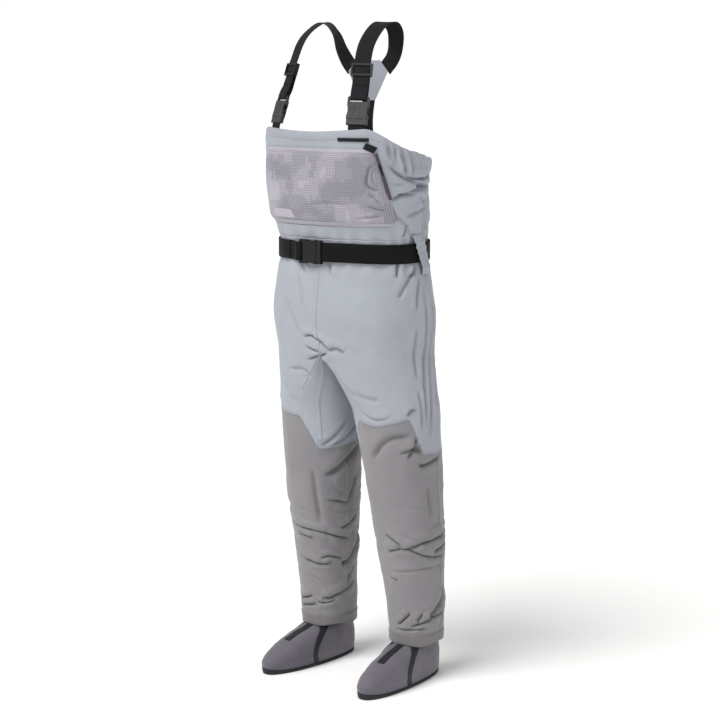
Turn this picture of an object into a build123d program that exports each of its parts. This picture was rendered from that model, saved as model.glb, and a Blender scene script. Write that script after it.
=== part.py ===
from build123d import *
from math import cos, pi, radians, sin
import os

# Chest waders, standing as if worn: +Z up, the front faces -Y, the wearer's left is +X.
# The origin is at floor level under the middle of the garment. All sizes are in millimetres.
# Each fabric panel is a thin plain shell. Neighbouring panels meet face to face at their seams.

os.makedirs("parts", exist_ok=True)

# ---- driving dimensions -------------------------------------------------------------------
FABRIC = 3.0            # wall of a fabric panel
GAP = 0.3               # air left between pieces that lie on each other
RING_POINTS = 24        # points round one horizontal section
END_CLEAR = 15.0        # least distance between a loft's end and the next section
RING_ANGLES = [360.0 * (i + 0.37) / RING_POINTS for i in range(RING_POINTS)]

# trunk sections: height, half width, front y, widest y, back y, squareness
TRUNK = (
    (830.0, 208.0, -128.0, 12.0, 152.0, 2.2),
    (930.0, 217.0, -141.0, 6.0, 153.0, 2.2),
    (1010.0, 206.0, -135.0, 6.0, 147.0, 2.2),
    (1080.0, 192.0, -124.0, 7.0, 138.0, 2.3),
    (1150.0, 200.0, -140.0, -3.0, 134.0, 2.4),
    (1250.0, 209.0, -155.0, -18.0, 112.0, 2.5),
    (1320.0, 203.0, -158.0, -30.0, 80.0, 2.8),
    (1395.0, 191.0, -160.0, -38.0, 50.0, 3.0),
)
# leg sections: height, inner x, outer x, middle y, half depth
LEG = (
    (830.0, 0.15, 208.0, 12.0, 140.0),
    (760.0, 6.0, 213.0, 20.0, 122.0),
    (680.0, 18.0, 216.0, 30.0, 108.0),
    (544.0, 34.0, 220.0, 42.0, 98.0),
    (400.0, 50.0, 217.0, 58.0, 90.0),
    (300.0, 61.0, 213.0, 70.0, 82.0),
    (200.0, 71.0, 209.0, 80.0, 76.0),
    (100.0, 75.0, 205.0, 84.0, 70.0),
)
CROTCH_Z = LEG[0][0]
HEM_Z = LEG[-1][0]
HEM_TALL = 26.0
TRUNK_SEAM_Z = 1112.0   # seam hidden just above the belt, between bib and seat panels
RIM_OUTLINE = ((-260, 1372), (-158, 1372), (-53, 1343), (70, 1300), (130, 1268), (260, 1268))
KNEE_FRONT_Z = 660.0    # top of the dark reinforced panel on the front of the leg
KNEE_SIDE_Z = 572.0     # where the same edge dips at both sides of the leg
GUSSET_X = 46.0
GUSSET_LOW_Z = 640.0

# booties: height, toe y, heel y, half width
FOOT = (
    (11.0, -148.0, 162.0, 47.0),
    (30.0, -149.0, 163.0, 51.0),
    (55.0, -116.0, 161.0, 50.0),
    (80.0, -48.0, 155.0, 46.0),
    (100.0, 23.0, 146.0, 44.0),
    (125.0, 30.0, 143.0, 44.0),
    (150.0, 31.0, 141.0, 44.0),
)
FOOT_X = 140.0
ANKLE_Y = 84.0
NEOPRENE = 5.0
SOLE_TALL = 11.0
TOE_OUT = {"left": 1.5, "right": -6.0}
SIDES = {"left": 1.0, "right": -1.0}

# webbing and hardware
WEB = 40.0              # shoulder webbing width
BELT = 46.0             # belt webbing width
WEB_T = 2.5
BUCKLE_T = 12.0         # female housing, front to back
HOUSING_L = 40.0
FEMALE_L = 54.0
MALE_BASE_L = 14.0
BAR_BEND = ((3.9, 46.7), (4.9, 50.5))    # webbing's middle as it turns round the female half's bar
CAVITY_T = 7.6
SIDE_WALL = 4.5
PRONG_L = 25.0
PRONG_PIN_R = 1.1
PIN_CLEAR = 0.06
STRAP_FOOT = Vector(118.0, -128.0, 1413.0)
STRAP_RUN = Vector(-0.1077, 0.2938, 0.9499).normalized()
STRAP_ACROSS = Vector(0.9085, 0.4179, 0.0)
MOUTH_AT = -17.0        # the buckle's mouth, measured along the strap from STRAP_FOOT
STRAP_LOW = 64.0        # lower end of the single ply that the slider rides on
STRAP_STRAIGHT = 128.0  # end of the straight stretch
SLIDER_AT = 102.0
BELT_Z = 1080.0
BELT_Y = -137.0
BELT_MOUTH_X = 2.0
BELT_LOOP_ANGLE = 2.0   # place round the trunk, in degrees
BELT_LOOP_W = 34.0

# over-the-shoulder stretch of the left strap: place, then the direction across the webbing
ARCH = (
    ((102.0, -74.0, 1567.0), (0.90, 0.43, 0.0)),
    ((99.0, -42.0, 1600.0), (0.89, 0.46, 0.0)),
    ((96.0, -4.0, 1619.0), (0.87, 0.49, 0.0)),
    ((94.0, 30.0, 1618.0), (0.87, 0.48, 0.0)),
    ((91.0, 54.0, 1596.0), (0.88, 0.40, -0.10)),
    ((83.0, 64.0, 1562.0), (0.90, 0.20, -0.35)),
    ((70.0, 67.5, 1534.0), (0.80, 0.05, -0.60)),
    ((50.0, 67.5, 1512.0), (0.72, 0.0, -0.69)),
)
ELASTIC_W = 38.0
ELASTIC_ROUTE = ((66.8, 1462), (66.2, 1436), (60, 1402), (59, 1370), (67, 1330), (81, 1302), (101.3, 1260))

# chest pocket
POCKET_DEEP = 10.0
POCKET_OUTLINE = ((160, 1328), (174, 1262), (191, 1166), (176, 1144))
ZIP_TOP = (-41.0, 1316.0)      # place round the trunk in degrees, height
ZIP_LOW = (-31.5, 1214.0)
ZIP_PROUD = 3.0
ZIP_W = 12.0
SLIDER_FROM_TOP = 30.0


# ---- shared geometry ----------------------------------------------------------------------
def power(value, squareness):
    """Signed power that turns a circle's coordinate into a superellipse's."""
    size = abs(value) ** (2.0 / squareness)
    return size if value >= 0 else -size


def mix(low, high, share):
    return tuple(a + (b - a) * share for a, b in zip(low, high))


def station(table, z):
    """A section's measures at any height, straight between the table's rows."""
    rows = sorted(table)
    if z <= rows[0][0]:
        return rows[0]
    for low, high in zip(rows, rows[1:]):
        if z <= high[0]:
            return mix(low, high, (z - low[0]) / (high[0] - low[0]))
    return rows[-1]


def trunk_point(angle, z, out=0.0):
    """A point on the trunk's surface, moved outwards by out. Angle 0 is the left side."""
    _, half_width, front, middle, back, square = station(TRUNK, z)
    c = power(cos(radians(angle)), square)
    s = power(sin(radians(angle)), square)
    depth = (back - middle + out) if s > 0 else (middle - front + out)
    return Vector((half_width + out) * c, middle + depth * s, z)


def ring(points):
    return make_face(Spline(*points, periodic=True))


def levels(table, low, high):
    """Heights of a loft's sections: its two ends and the table's rows well inside them."""
    inside = sorted(row[0] for row in table if low + END_CLEAR < row[0] < high - END_CLEAR)
    return [low] + inside + [high]


def trunk_loft(out, low, high):
    heights = levels(TRUNK, low, high)
    return loft([ring([trunk_point(a, z, out) for a in RING_ANGLES]) for z in heights])


def leg_point(angle, z, out):
    """A point on the left leg. At the crotch the inner side is flat, lower down it is round."""
    _, inner, outer, middle, depth = station(LEG, z)
    share = max(0.0, min(1.0, (z - 700.0) / (CROTCH_Z - 700.0)))
    centre = (inner + outer) / 2
    half = (outer - inner) / 2 + out
    c = power(cos(radians(angle)), 2.2)
    s = power(sin(radians(angle)), 2.2)
    round_x = centre + half * c
    flat_x = (outer + out) * c if c > 0 else inner - out
    y = middle + (depth + out) * s
    return Vector(flat_x * share + round_x * (1 - share), y, z)


def leg_loft(out, low, high):
    heights = levels(LEG, low, high)
    return loft([ring([leg_point(a, z, out) for a in RING_ANGLES]) for z in heights])


def block(low, high):
    """A box between two corners."""
    size = [b - a for a, b in zip(low, high)]
    centre = [(a + b) / 2 for a, b in zip(low, high)]
    return Pos(*centre) * Box(*size)


def prism_y(outline, depth=300.0):
    """A closed outline of (x, z) points, pushed both ways along Y."""
    face = make_face(Polyline(*[(x, 0, z) for x, z in outline], close=True))
    return extrude(face, amount=depth, dir=(0, 1, 0), both=True)


def prism_x(outline, depth=300.0):
    """A closed outline of (y, z) points, pushed both ways along X."""
    face = make_face(Polyline(*[(0, y, z) for y, z in outline], close=True))
    return extrude(face, amount=depth, dir=(1, 0, 0), both=True)


def band(points, thickness, across, width):
    """Webbing along a flat curve: its centre line, thickness, and the direction across it."""
    line = Spline(*points)
    left, right = [], []
    steps = 4 * len(points)
    for i in range(steps + 1):
        place = line @ (i / steps)
        side = (line % (i / steps)).cross(across).normalized() * (thickness / 2)
        left.append(place + side)
        right.append(place - side)
    edges = [Spline(*left), Line(left[-1], right[-1]), Spline(*right), Line(left[0], right[0])]
    return extrude(make_face(edges), amount=width / 2, dir=across, both=True)


def mirrored(shape, side):
    return mirror(shape, about=Plane.YZ) if SIDES[side] < 0 else shape


# ---- trunk and bib ------------------------------------------------------------------------
def panel(first, last, low, high, outside=0.0, inside=-FABRIC):
    """A sheet that covers the trunk between two angles and two heights."""
    steps = max(4, round((last - first) / 15.0))
    angles = [first + (last - first) * i / steps for i in range(steps + 1)]
    sections = []
    for z in levels(TRUNK, low, high):
        outer = [trunk_point(a, z, outside) for a in angles]
        inner = [trunk_point(a, z, inside) for a in reversed(angles)]
        edges = [Spline(*outer), Line(outer[-1], inner[0]), Spline(*inner), Line(inner[-1], outer[0])]
        sections.append(make_face(edges))
    return loft(sections)


def make_trunk():
    left_seam, right_seam = 8.0, 172.0
    seat = (CROTCH_Z, TRUNK_SEAM_Z)
    bib = (TRUNK_SEAM_Z, 1395.0)
    above = prism_x(tuple(RIM_OUTLINE) + ((260, 1500), (-260, 1500)))
    return {
        "bib_front": panel(right_seam - 360, left_seam, *bib) - above,
        "bib_back": panel(left_seam, right_seam, *bib) - above,
        "seat_front_left": panel(-90, left_seam, *seat),
        "seat_front_right": panel(right_seam - 360, -90, *seat),
        "seat_back_left": panel(left_seam, 90, *seat),
        "seat_back_right": panel(90, right_seam, *seat),
    }


def make_rim_elastic():
    """Gathering elastic sewn inside the top edge, round the sides and the back."""
    outside = -FABRIC - GAP
    top = [(y, z - 6) for y, z in RIM_OUTLINE[1:]]
    bottom = [(y, z - 24) for y, z in reversed(RIM_OUTLINE[1:])]
    strip = prism_x(top + bottom)
    halves = [panel(first, last, TRUNK_SEAM_Z, 1395.0, outside, outside - 1.8)
              for first, last in ((-12, 80), (100, 192))]
    return Part() + [half & strip for half in halves]


# ---- legs ---------------------------------------------------------------------------------
def make_legs():
    shell = leg_loft(0, 85, 845) - leg_loft(-FABRIC, 85, 845)
    shell = shell & block((0.15, -300, HEM_Z), (300, 300, CROTCH_Z))
    hem_top = HEM_Z + HEM_TALL
    middle = 122.0
    knee = ((0, hem_top), (300, hem_top), (300, KNEE_SIDE_Z), (middle + 78, KNEE_SIDE_Z),
            (middle + 62, KNEE_FRONT_Z), (middle - 62, KNEE_FRONT_Z), (middle - 78, KNEE_SIDE_Z),
            (0, KNEE_SIDE_Z))
    dark = shell & prism_y(knee)
    light = shell - prism_y(knee) - block((0, -300, 0), (300, 300, hem_top))
    gusset_zone = block((0, -300, GUSSET_LOW_Z), (GUSSET_X, 300, CROTCH_Z))
    seam_y = 52.0
    panels = {
        "upper_leg": light - gusset_zone,
        "lower_leg_front": dark & block((0, -300, 0), (300, seam_y, 900)),
        "lower_leg_back": dark & block((0, seam_y, 0), (300, 300, 900)),
        "cuff_hem": shell & block((0, -300, 0), (300, 300, hem_top)),
    }
    gusset = light & gusset_zone
    nodes = {"crotch_gusset": Part() + gusset + mirrored(gusset, "right")}
    for side in SIDES:
        for name, shape in panels.items():
            nodes[f"{name}_{side}"] = mirrored(shape, side)
    return nodes


# ---- booties ------------------------------------------------------------------------------
def foot_ring(row, out):
    z, toe, heel, half = row
    middle, length = (toe + heel) / 2, (heel - toe) / 2
    points = []
    for i in range(RING_POINTS):
        turn = 2 * pi * (i + 0.37) / RING_POINTS
        taper = 1.0 + 0.10 * min(0.0, -sin(turn))
        x = (half * taper + out) * power(cos(turn), 2.4)
        points.append(Vector(x, middle - (length + out) * power(sin(turn), 2.4), z))
    return ring(points)


def foot_loft(out, low, high):
    return loft([foot_ring((z,) + station(FOOT, z)[1:], out) for z in levels(FOOT, low, high)])


def make_feet():
    bootie = foot_loft(0, 5, 165) - foot_loft(-NEOPRENE, 5, 165)
    bootie = bootie & block((-100, -300, SOLE_TALL), (100, 300, FOOT[-1][0]))
    sole = extrude(foot_ring((0.0,) + FOOT[0][1:], 1.5), amount=SOLE_TALL, dir=(0, 0, 1))
    strip = foot_loft(1.8, 5, 165) - foot_loft(GAP, 5, 165)
    instep = strip & block((-11, -200, 40), (11, -15, 92))
    tapes = strip & (block((20, -95, 24), (90, -70, 90)) + block((-90, -95, 24), (-20, -70, 90)))
    pieces = {"bootie": bootie, "sole": sole, "instep_strip": instep, "bootie_side_tapes": tapes}
    nodes = {}
    for side, sign in SIDES.items():
        place = Pos(sign * FOOT_X, ANKLE_Y, 0) * Rot(0, 0, TOE_OUT[side]) * Pos(0, -ANKLE_Y, 0)
        for name, shape in pieces.items():
            nodes[f"{name}_{side}"] = place * shape
    return nodes


# ---- side-release buckle ------------------------------------------------------------------
# Local frame: Z along the webbing with the mouth at 0 and the female half above it,
# X across the webbing, -Y outwards.
def make_female(web):
    half = web / 2 + 6
    housing = Pos(0, 0, HOUSING_L / 2) * Box(2 * half, BUCKLE_T, HOUSING_L)
    housing = fillet(housing.edges().filter_by(Axis.Z), 3.0)
    frame_l = FEMALE_L - HOUSING_L
    frame = Pos(0, 0, HOUSING_L + frame_l / 2) * Box(2 * half, 6, frame_l)
    frame = fillet(frame.edges().filter_by(Axis.Y).group_by(Axis.Z)[-1], 4.0)
    slot = Pos(0, 0, HOUSING_L + 5) * Box(web + 2, 10, 7)
    cavity = Pos(0, 0, 17.9) * Box(2 * (half - SIDE_WALL), CAVITY_T, 36.2)
    windows = Pos(0, 0, 19.5) * Box(2 * half + 2, CAVITY_T, 21)
    female = housing + frame - slot - cavity - windows
    for sign in (-1, 1):
        scoop = Pos(sign * (half + 27), 0, 19.5) * Rot(90, 0, 0) * Cylinder(30, 30)
        groove = Pos(sign * 7, -BUCKLE_T / 2, HOUSING_L / 2) * Box(1.2, 1.0, HOUSING_L - 8)
        female = female - scoop - groove
    return female


def prong_root(web):
    """Distance of each prong's pivot from the buckle's middle."""
    return web / 2 + 6 - 13.0


def make_male(web):
    half = web / 2 + 6
    base_l = MALE_BASE_L - 0.4
    base = Pos(0, 0, -0.4 - base_l / 2) * Box(2 * half - 2, 10, base_l)
    base = fillet(base.edges().filter_by(Axis.Z), 2.0)
    tunnel = Pos(0, 0, -MALE_BASE_L + 4) * Box(web + 1, WEB_T + 0.8, 10)
    tongue = Pos(0, 0, 11.6) * Box(9, 5, 24.2)
    male = base - tunnel + tongue
    for sign in (-1, 1):
        for front in (-1, 1):
            ear = Pos(sign * prong_root(web), front * 3.0, 2.1) * Box(6, 1.0, 5.4)
            male = male + ear
        hole = Pos(sign * prong_root(web), 0, 2.6) * Rot(90, 0, 0)
        male = male - hole * Cylinder(PRONG_PIN_R + PIN_CLEAR, 9)
    return male


def make_prong(web, sign):
    """One latch arm with its thumb grip; sign picks the side of the buckle."""
    root = prong_root(web)
    reach = web / 2 + 6 - SIDE_WALL - 0.4
    outline = ((root - 2.2, 0.4), (root + 2.4, 0.4), (root + 3.4, 7), (reach - 1.2, 11),
               (reach, 14), (reach, 20), (reach - 1.6, 23.5), (reach - 5, PRONG_L),
               (reach - 6.5, 22), (root + 2.0, 13), (root - 1.6, 6))
    face = make_face(Polyline(*[(sign * x, 0, z) for x, z in outline], close=True))
    arm = extrude(face, amount=2.2, dir=(0, 1, 0), both=True)
    pin = Pos(sign * root, 0, 2.6) * Rot(90, 0, 0) * Cylinder(PRONG_PIN_R, 7.0)
    return arm + pin


def make_loop(web, far):
    """Webbing folded round the female half's bar; far is where the two plies end."""
    front_end, back_end = far
    points = [(0, front_end[1], front_end[0]), (0, -3.4, 68), (0, -4.9, 57)]
    points += [(0, -y, z) for y, z in reversed(BAR_BEND)] + [(0, 0, 45.1)]
    points += [(0, y, z) for y, z in BAR_BEND]
    points += [(0, 5.3, 57), (0, 7.6, 72), (0, back_end[1], back_end[0])]
    return band(points, 2.0, Vector(1, 0, 0), web)


def buckle_set(name, place, web):
    """All hard pieces of one buckle, put in place."""
    return {
        f"{name}_female": place * make_female(web),
        f"{name}_male": place * make_male(web),
        f"{name}_prong_a": place * make_prong(web, 1),
        f"{name}_prong_b": place * make_prong(web, -1),
    }


# ---- shoulder straps ----------------------------------------------------------------------
def flip(vector, side):
    return Vector(vector.X * SIDES[side], vector.Y, vector.Z)


def strap_plane(side, along):
    """Frame on the strap's straight stretch: Z up the strap, X across it."""
    across = Vector(STRAP_ACROSS.X, STRAP_ACROSS.Y * SIDES[side], 0)
    run = flip(STRAP_RUN, side)
    return Plane(origin=flip(STRAP_FOOT, side) + run * along, x_dir=across, z_dir=run)


def make_strap():
    """Left shoulder webbing from below the slider, over the shoulder, to the yoke."""
    straight = STRAP_STRAIGHT - STRAP_LOW
    low = strap_plane("left", STRAP_LOW).location * Pos(0, 0, straight / 2) * Box(WEB, WEB_T, straight)
    sections = [strap_plane("left", STRAP_STRAIGHT) * Rectangle(WEB, WEB_T)]
    places = [STRAP_FOOT + STRAP_RUN * STRAP_STRAIGHT] + [Vector(*place) for place, _ in ARCH]
    for i, (place, across) in enumerate(ARCH):
        before = places[i]
        after = places[min(i + 2, len(places) - 1)]
        run = (after - before).normalized()
        wide = Vector(*across)
        wide = (wide - run * wide.dot(run)).normalized()
        sections.append(Plane(origin=Vector(*place), x_dir=wide, z_dir=run) * Rectangle(WEB, WEB_T))
    return low + loft(sections, ruled=True)


def make_slider():
    """Three-bar slider: two front bars, two rails, and a rear bar that holds the webbing's end."""
    bars = [Pos(0, -3.1, z) * Box(50, 3, 5) for z in (-12.5, 12.5)]
    rails = [Pos(x, 1.0, 0) * Box(4, 11.2, 30) for x in (-23, 23)]
    rear = Pos(0, 5.3, 0) * Box(44, 2.2, 5)
    return Part() + bars + rails + rear


def make_slider_fold():
    """The webbing's end, folded over the slider's rear bar."""
    front = Pos(0, 2.9, -1) * Box(WEB, 1.8, 12)
    top = Pos(0, 5.3, 4.1) * Box(WEB, 6.6, 1.8)
    rear = Pos(0, 7.7, -4.5) * Box(WEB, 1.8, 19)
    return front + top + rear


def make_tab():
    """Short webbing that holds the buckle's male half, sewn inside the top of the bib."""
    points = [(0, 0, -6), (0, 0, -18), (0, 2.4, -30), (0, 6.9, -40), (0, 12.5, -52)]
    return band(points, WEB_T, Vector(1, 0, 0), WEB)


def make_harness():
    nodes = {}
    strap = make_strap()
    loop = make_loop(WEB, ((STRAP_LOW - MOUTH_AT - GAP, 0), (104.7, 7.7)))
    for side in SIDES:
        mouth = strap_plane(side, MOUTH_AT).location
        nodes.update(buckle_set(f"shoulder_buckle_{side}", mouth, WEB))
        nodes[f"shoulder_tab_{side}"] = mouth * make_tab()
        nodes[f"strap_loop_{side}"] = mouth * loop
        nodes[f"shoulder_strap_{side}"] = mirrored(strap, side)
        nodes[f"strap_slider_{side}"] = strap_plane(side, SLIDER_AT).location * make_slider()
        nodes[f"slider_fold_{side}"] = strap_plane(side, SLIDER_AT).location * make_slider_fold()
    yoke = prism_y(((-60, 1506), (-36, 1532), (36, 1532), (60, 1506), (21, 1436), (-21, 1436)), 1.5)
    nodes["back_yoke"] = Pos(0, 63.5, 0) * yoke
    points = [(0, y, z) for y, z in ELASTIC_ROUTE]
    nodes["back_elastic"] = band(points, 2.2, Vector(1, 0, 0), ELASTIC_W)
    return nodes


# ---- belt ---------------------------------------------------------------------------------
def make_belt():
    out = 6.6
    points = [Vector(x, BELT_Y, BELT_Z) for x in (BELT_MOUTH_X + 5.5, 17, 28)]
    points += [trunk_point(angle, BELT_Z, out) for angle in range(-68, 246, 12)]
    webbing = band(points, WEB_T, Vector(0, 0, 1), BELT)
    mouth = Plane(origin=(BELT_MOUTH_X, BELT_Y, BELT_Z), x_dir=(0, 0, 1), z_dir=(-1, 0, 0)).location
    nodes = buckle_set("belt_buckle", mouth, BELT)
    nodes["belt_webbing"] = webbing
    start = trunk_point(244, BELT_Z, out)
    far = (BELT_MOUTH_X - start.X - 1, start.Y - BELT_Y)
    end = [(0, far[1], far[0]), (0, 11.5, 81), (0, 2.5, 69), (0, -3.2, 62), (0, -4.9, 55.5)]
    end += [(0, -y, z) for y, z in reversed(BAR_BEND)] + [(0, 0, 45.1)]
    end += [(0, y, z) for y, z in BAR_BEND] + [(0, 5.1, 55)]
    nodes["belt_end_loop"] = mouth * band(end, 2.0, Vector(1, 0, 0), BELT)
    along = trunk_point(BELT_LOOP_ANGLE + 6, BELT_Z) - trunk_point(BELT_LOOP_ANGLE - 6, BELT_Z)
    outwards = along.cross(Vector(0, 0, 1)).normalized()
    sewn_at = trunk_point(BELT_LOOP_ANGLE, BELT_Z - 4)
    place = Plane(origin=sewn_at, x_dir=outwards, z_dir=(0, 0, 1)).location * Rot(8, 0, 0)
    loop = place * Pos(10.8, 0, 0) * Box(1.8, BELT_LOOP_W, 96)
    for z in (-46.75, 46.75):
        loop = loop + place * Pos(5.8, 0, z) * Box(11.8, BELT_LOOP_W, 2.5)
    for side in SIDES:
        nodes[f"belt_loop_{side}"] = mirrored(loop, side)
    return nodes


# ---- chest pocket -------------------------------------------------------------------------
def layer(low, high, region):
    """A skin that follows the front of the trunk between two distances from it."""
    return (trunk_loft(high, 1110, 1410) - trunk_loft(low, 1110, 1410)) & region


def zip_plane():
    """Frame at the zip's middle: Z up the zip, X across the tape, -Y outwards."""
    top = trunk_point(*ZIP_TOP, POCKET_DEEP + ZIP_PROUD)
    low = trunk_point(*ZIP_LOW, POCKET_DEEP + ZIP_PROUD)
    run = (top - low).normalized()
    middle = (top + low) / 2
    ahead = trunk_point(-34.0, middle.Z) - trunk_point(-38.0, middle.Z)
    across = (ahead - run * ahead.dot(run)).normalized()
    return Plane(origin=middle, x_dir=across, z_dir=run), (top - low).length


def make_pocket():
    right = [(-x, z) for x, z in reversed(POCKET_OUTLINE)]
    outline = tuple(POCKET_OUTLINE) + tuple(right)
    front = block((-300, -300, 1100), (300, -40, 1400))
    pouch = layer(GAP, POCKET_DEEP, prism_y(outline) & front)
    low_band = layer(POCKET_DEEP + GAP, POCKET_DEEP + 1.5, block((-172, -300, 1147), (172, -60, 1157)))
    label = prism_y(((-134, 1160), (-52, 1160), (-66, 1182), (-134, 1182))) & front
    patch = layer(POCKET_DEEP + GAP, POCKET_DEEP + 1.3, label)
    strip = layer(GAP, 2.3, block((84, -300, 1346), (148, -60, 1353)))
    tab_face = Pos(157, 0, 1331) * Rot(0, 28, 0) * Box(20, 300, 14)
    tab = layer(POCKET_DEEP + GAP, POCKET_DEEP + 2.0, tab_face & front)
    plane, length = zip_plane()
    place = plane.location
    coil = Pos(0, -1.2, 0) * Box(3.0, 1.2, length)
    tape = Box(ZIP_W, 1.2, length) + coil
    slider_z = length / 2 - SLIDER_FROM_TOP
    slider = Pos(0, -2.9, slider_z) * Box(8, 3.0, 12) - Pos(0, -1.3, slider_z) * Box(4.0, 1.8, 14)
    for x in (-2.6, 2.6):
        slider = slider + Pos(x, -5.4, slider_z + 3) * Box(1.2, 2.8, 4)
    pivot = Pos(0, -5.6, slider_z + 3)
    slider = slider - pivot * Rot(0, 90, 0) * Cylinder(0.66, 12)
    pull = pivot * Rot(0, 90, 0) * Cylinder(0.6, 6.4)
    pull = pull + pivot * Rot(0, 90, 0) * Cylinder(1.05, 3.4)
    pull = pull + pivot * Pos(0, -0.1, -12) * Box(3.4, 1.4, 24)
    return {
        "chest_pocket": pouch,
        "pocket_bottom_band": low_band,
        "pocket_blank_patch": patch,
        "tool_strip": strip,
        "pocket_corner_tab": tab,
        "pocket_zip": place * tape,
        "zip_slider": place * slider,
        "zip_pull": place * pull,
    }


def report_frames():
    """Print the joint axes and pivots, in metres, for the record."""
    for side in SIDES:
        plane = strap_plane(side, MOUTH_AT)
        print(side, "strap run", plane.z_dir, "across", plane.y_dir)
        for sign in (1, -1):
            place = plane.location * Pos(sign * prong_root(WEB), 0, 2.6)
            print("  prong", sign, place.position / 1000)
    for sign in (1, -1):
        print("belt prong", sign, (BELT_MOUTH_X - 2.6) / 1000, BELT_Y / 1000,
              (BELT_Z + sign * prong_root(BELT)) / 1000)
    plane, length = zip_plane()
    place = plane.location * Pos(0, -5.6, length / 2 - SLIDER_FROM_TOP + 3)
    print("zip run", plane.z_dir, "across", plane.x_dir, "pull pivot", place.position / 1000, length)


def build_all():
    nodes = {}
    for maker in (make_trunk, make_legs, make_feet, make_harness, make_belt, make_pocket):
        nodes.update(maker())
    nodes["rim_elastic"] = make_rim_elastic()
    return nodes


for node, shape in build_all().items():
    export_step(shape, f"parts/{node}.step")
report_frames()
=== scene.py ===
import math

import bmesh
import bpy
import numpy as np
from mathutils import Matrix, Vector


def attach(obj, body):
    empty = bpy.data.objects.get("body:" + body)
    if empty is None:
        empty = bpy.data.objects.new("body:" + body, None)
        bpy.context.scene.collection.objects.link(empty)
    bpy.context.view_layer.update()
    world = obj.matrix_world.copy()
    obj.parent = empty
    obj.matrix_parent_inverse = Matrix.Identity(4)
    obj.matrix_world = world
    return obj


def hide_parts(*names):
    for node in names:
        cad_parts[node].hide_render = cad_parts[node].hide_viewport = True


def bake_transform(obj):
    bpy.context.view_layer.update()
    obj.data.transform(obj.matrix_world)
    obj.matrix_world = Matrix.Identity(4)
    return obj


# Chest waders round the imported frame. Metres, +Z up, the front faces -Y, the wearer's left is +X.

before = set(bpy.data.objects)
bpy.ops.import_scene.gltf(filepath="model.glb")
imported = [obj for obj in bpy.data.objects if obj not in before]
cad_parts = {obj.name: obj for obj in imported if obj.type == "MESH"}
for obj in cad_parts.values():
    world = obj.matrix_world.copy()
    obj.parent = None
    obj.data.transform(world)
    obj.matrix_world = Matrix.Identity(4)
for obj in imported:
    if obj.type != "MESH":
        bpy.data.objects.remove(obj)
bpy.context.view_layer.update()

# ---- driving sizes ------------------------------------------------------------------------
CROTCH_Z = 0.830
BELT_Z = 1.080
TRUNK_SEAM_Z = 1.112
HEM_Z = 0.100
HEM_SEAM_Z = 0.126
SIDE_SEAM = 8.0            # side seam's place round the trunk, in degrees
GUSSET_SEAM = 124.0        # seams of the inner leg panel
CLOTH = 0.0016             # thickness of a panel
LEG_STEP = 0.0032          # spacing of the mesh on the legs
TRUNK_STEP = 0.0036
SIDES = {"left": 1.0, "right": -1.0}

# trunk sections: height, half width, front y, widest y, back y, squareness
TRUNK = (
    (0.830, 0.208, -0.128, 0.012, 0.152, 2.2),
    (0.930, 0.217, -0.141, 0.006, 0.153, 2.2),
    (1.010, 0.206, -0.135, 0.006, 0.147, 2.2),
    (1.080, 0.192, -0.124, 0.007, 0.138, 2.3),
    (1.150, 0.200, -0.140, -0.003, 0.134, 2.4),
    (1.250, 0.209, -0.155, -0.018, 0.112, 2.5),
    (1.320, 0.203, -0.158, -0.030, 0.080, 2.8),
    (1.395, 0.191, -0.160, -0.038, 0.050, 3.0),
)
# leg sections: height, inner x, outer x, middle y, half depth
LEG = (
    (0.830, 0.000, 0.208, 0.012, 0.140),
    (0.760, 0.006, 0.213, 0.020, 0.122),
    (0.680, 0.018, 0.216, 0.030, 0.108),
    (0.544, 0.034, 0.220, 0.042, 0.098),
    (0.400, 0.050, 0.217, 0.058, 0.090),
    (0.300, 0.061, 0.213, 0.070, 0.082),
    (0.200, 0.071, 0.209, 0.080, 0.076),
    (0.100, 0.075, 0.205, 0.084, 0.070),
)
# height of the bib's top edge round the left half: angle, height
RIM = ((-90, 1.366), (-60, 1.372), (-45, 1.373), (-30, 1.358), (-20, 1.345), (-10, 1.333),
       (0, 1.321), (10, 1.310), (25, 1.297), (45, 1.284), (90, 1.262))
# top of the dark reinforced panel round each leg: angle, height
KNEE = {
    "left": ((-180, 0.585), (-136, 0.585), (-114, 0.668), (-87, 0.661), (-55, 0.672),
             (-34, 0.680), (-18, 0.589), (12, 0.586), (90, 0.575), (180, 0.585)),
    "right": ((-180, 0.585), (-160, 0.580), (-122, 0.575), (-94, 0.660), (-50, 0.664),
              (-32, 0.666), (-15, 0.588), (12, 0.586), (90, 0.575), (180, 0.585)),
}
# booties: height, toe y, heel y, half width
FOOT = (
    (0.000, -0.146, 0.160, 0.045),
    (0.011, -0.148, 0.162, 0.047),
    (0.030, -0.149, 0.163, 0.051),
    (0.055, -0.116, 0.161, 0.050),
    (0.080, -0.048, 0.155, 0.046),
    (0.100, 0.023, 0.146, 0.044),
    (0.125, 0.030, 0.143, 0.044),
    (0.150, 0.031, 0.141, 0.044),
)
FOOT_X = 0.140
ANKLE_Y = 0.084
TOE_OUT = {"left": 1.5, "right": -6.0}

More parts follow.
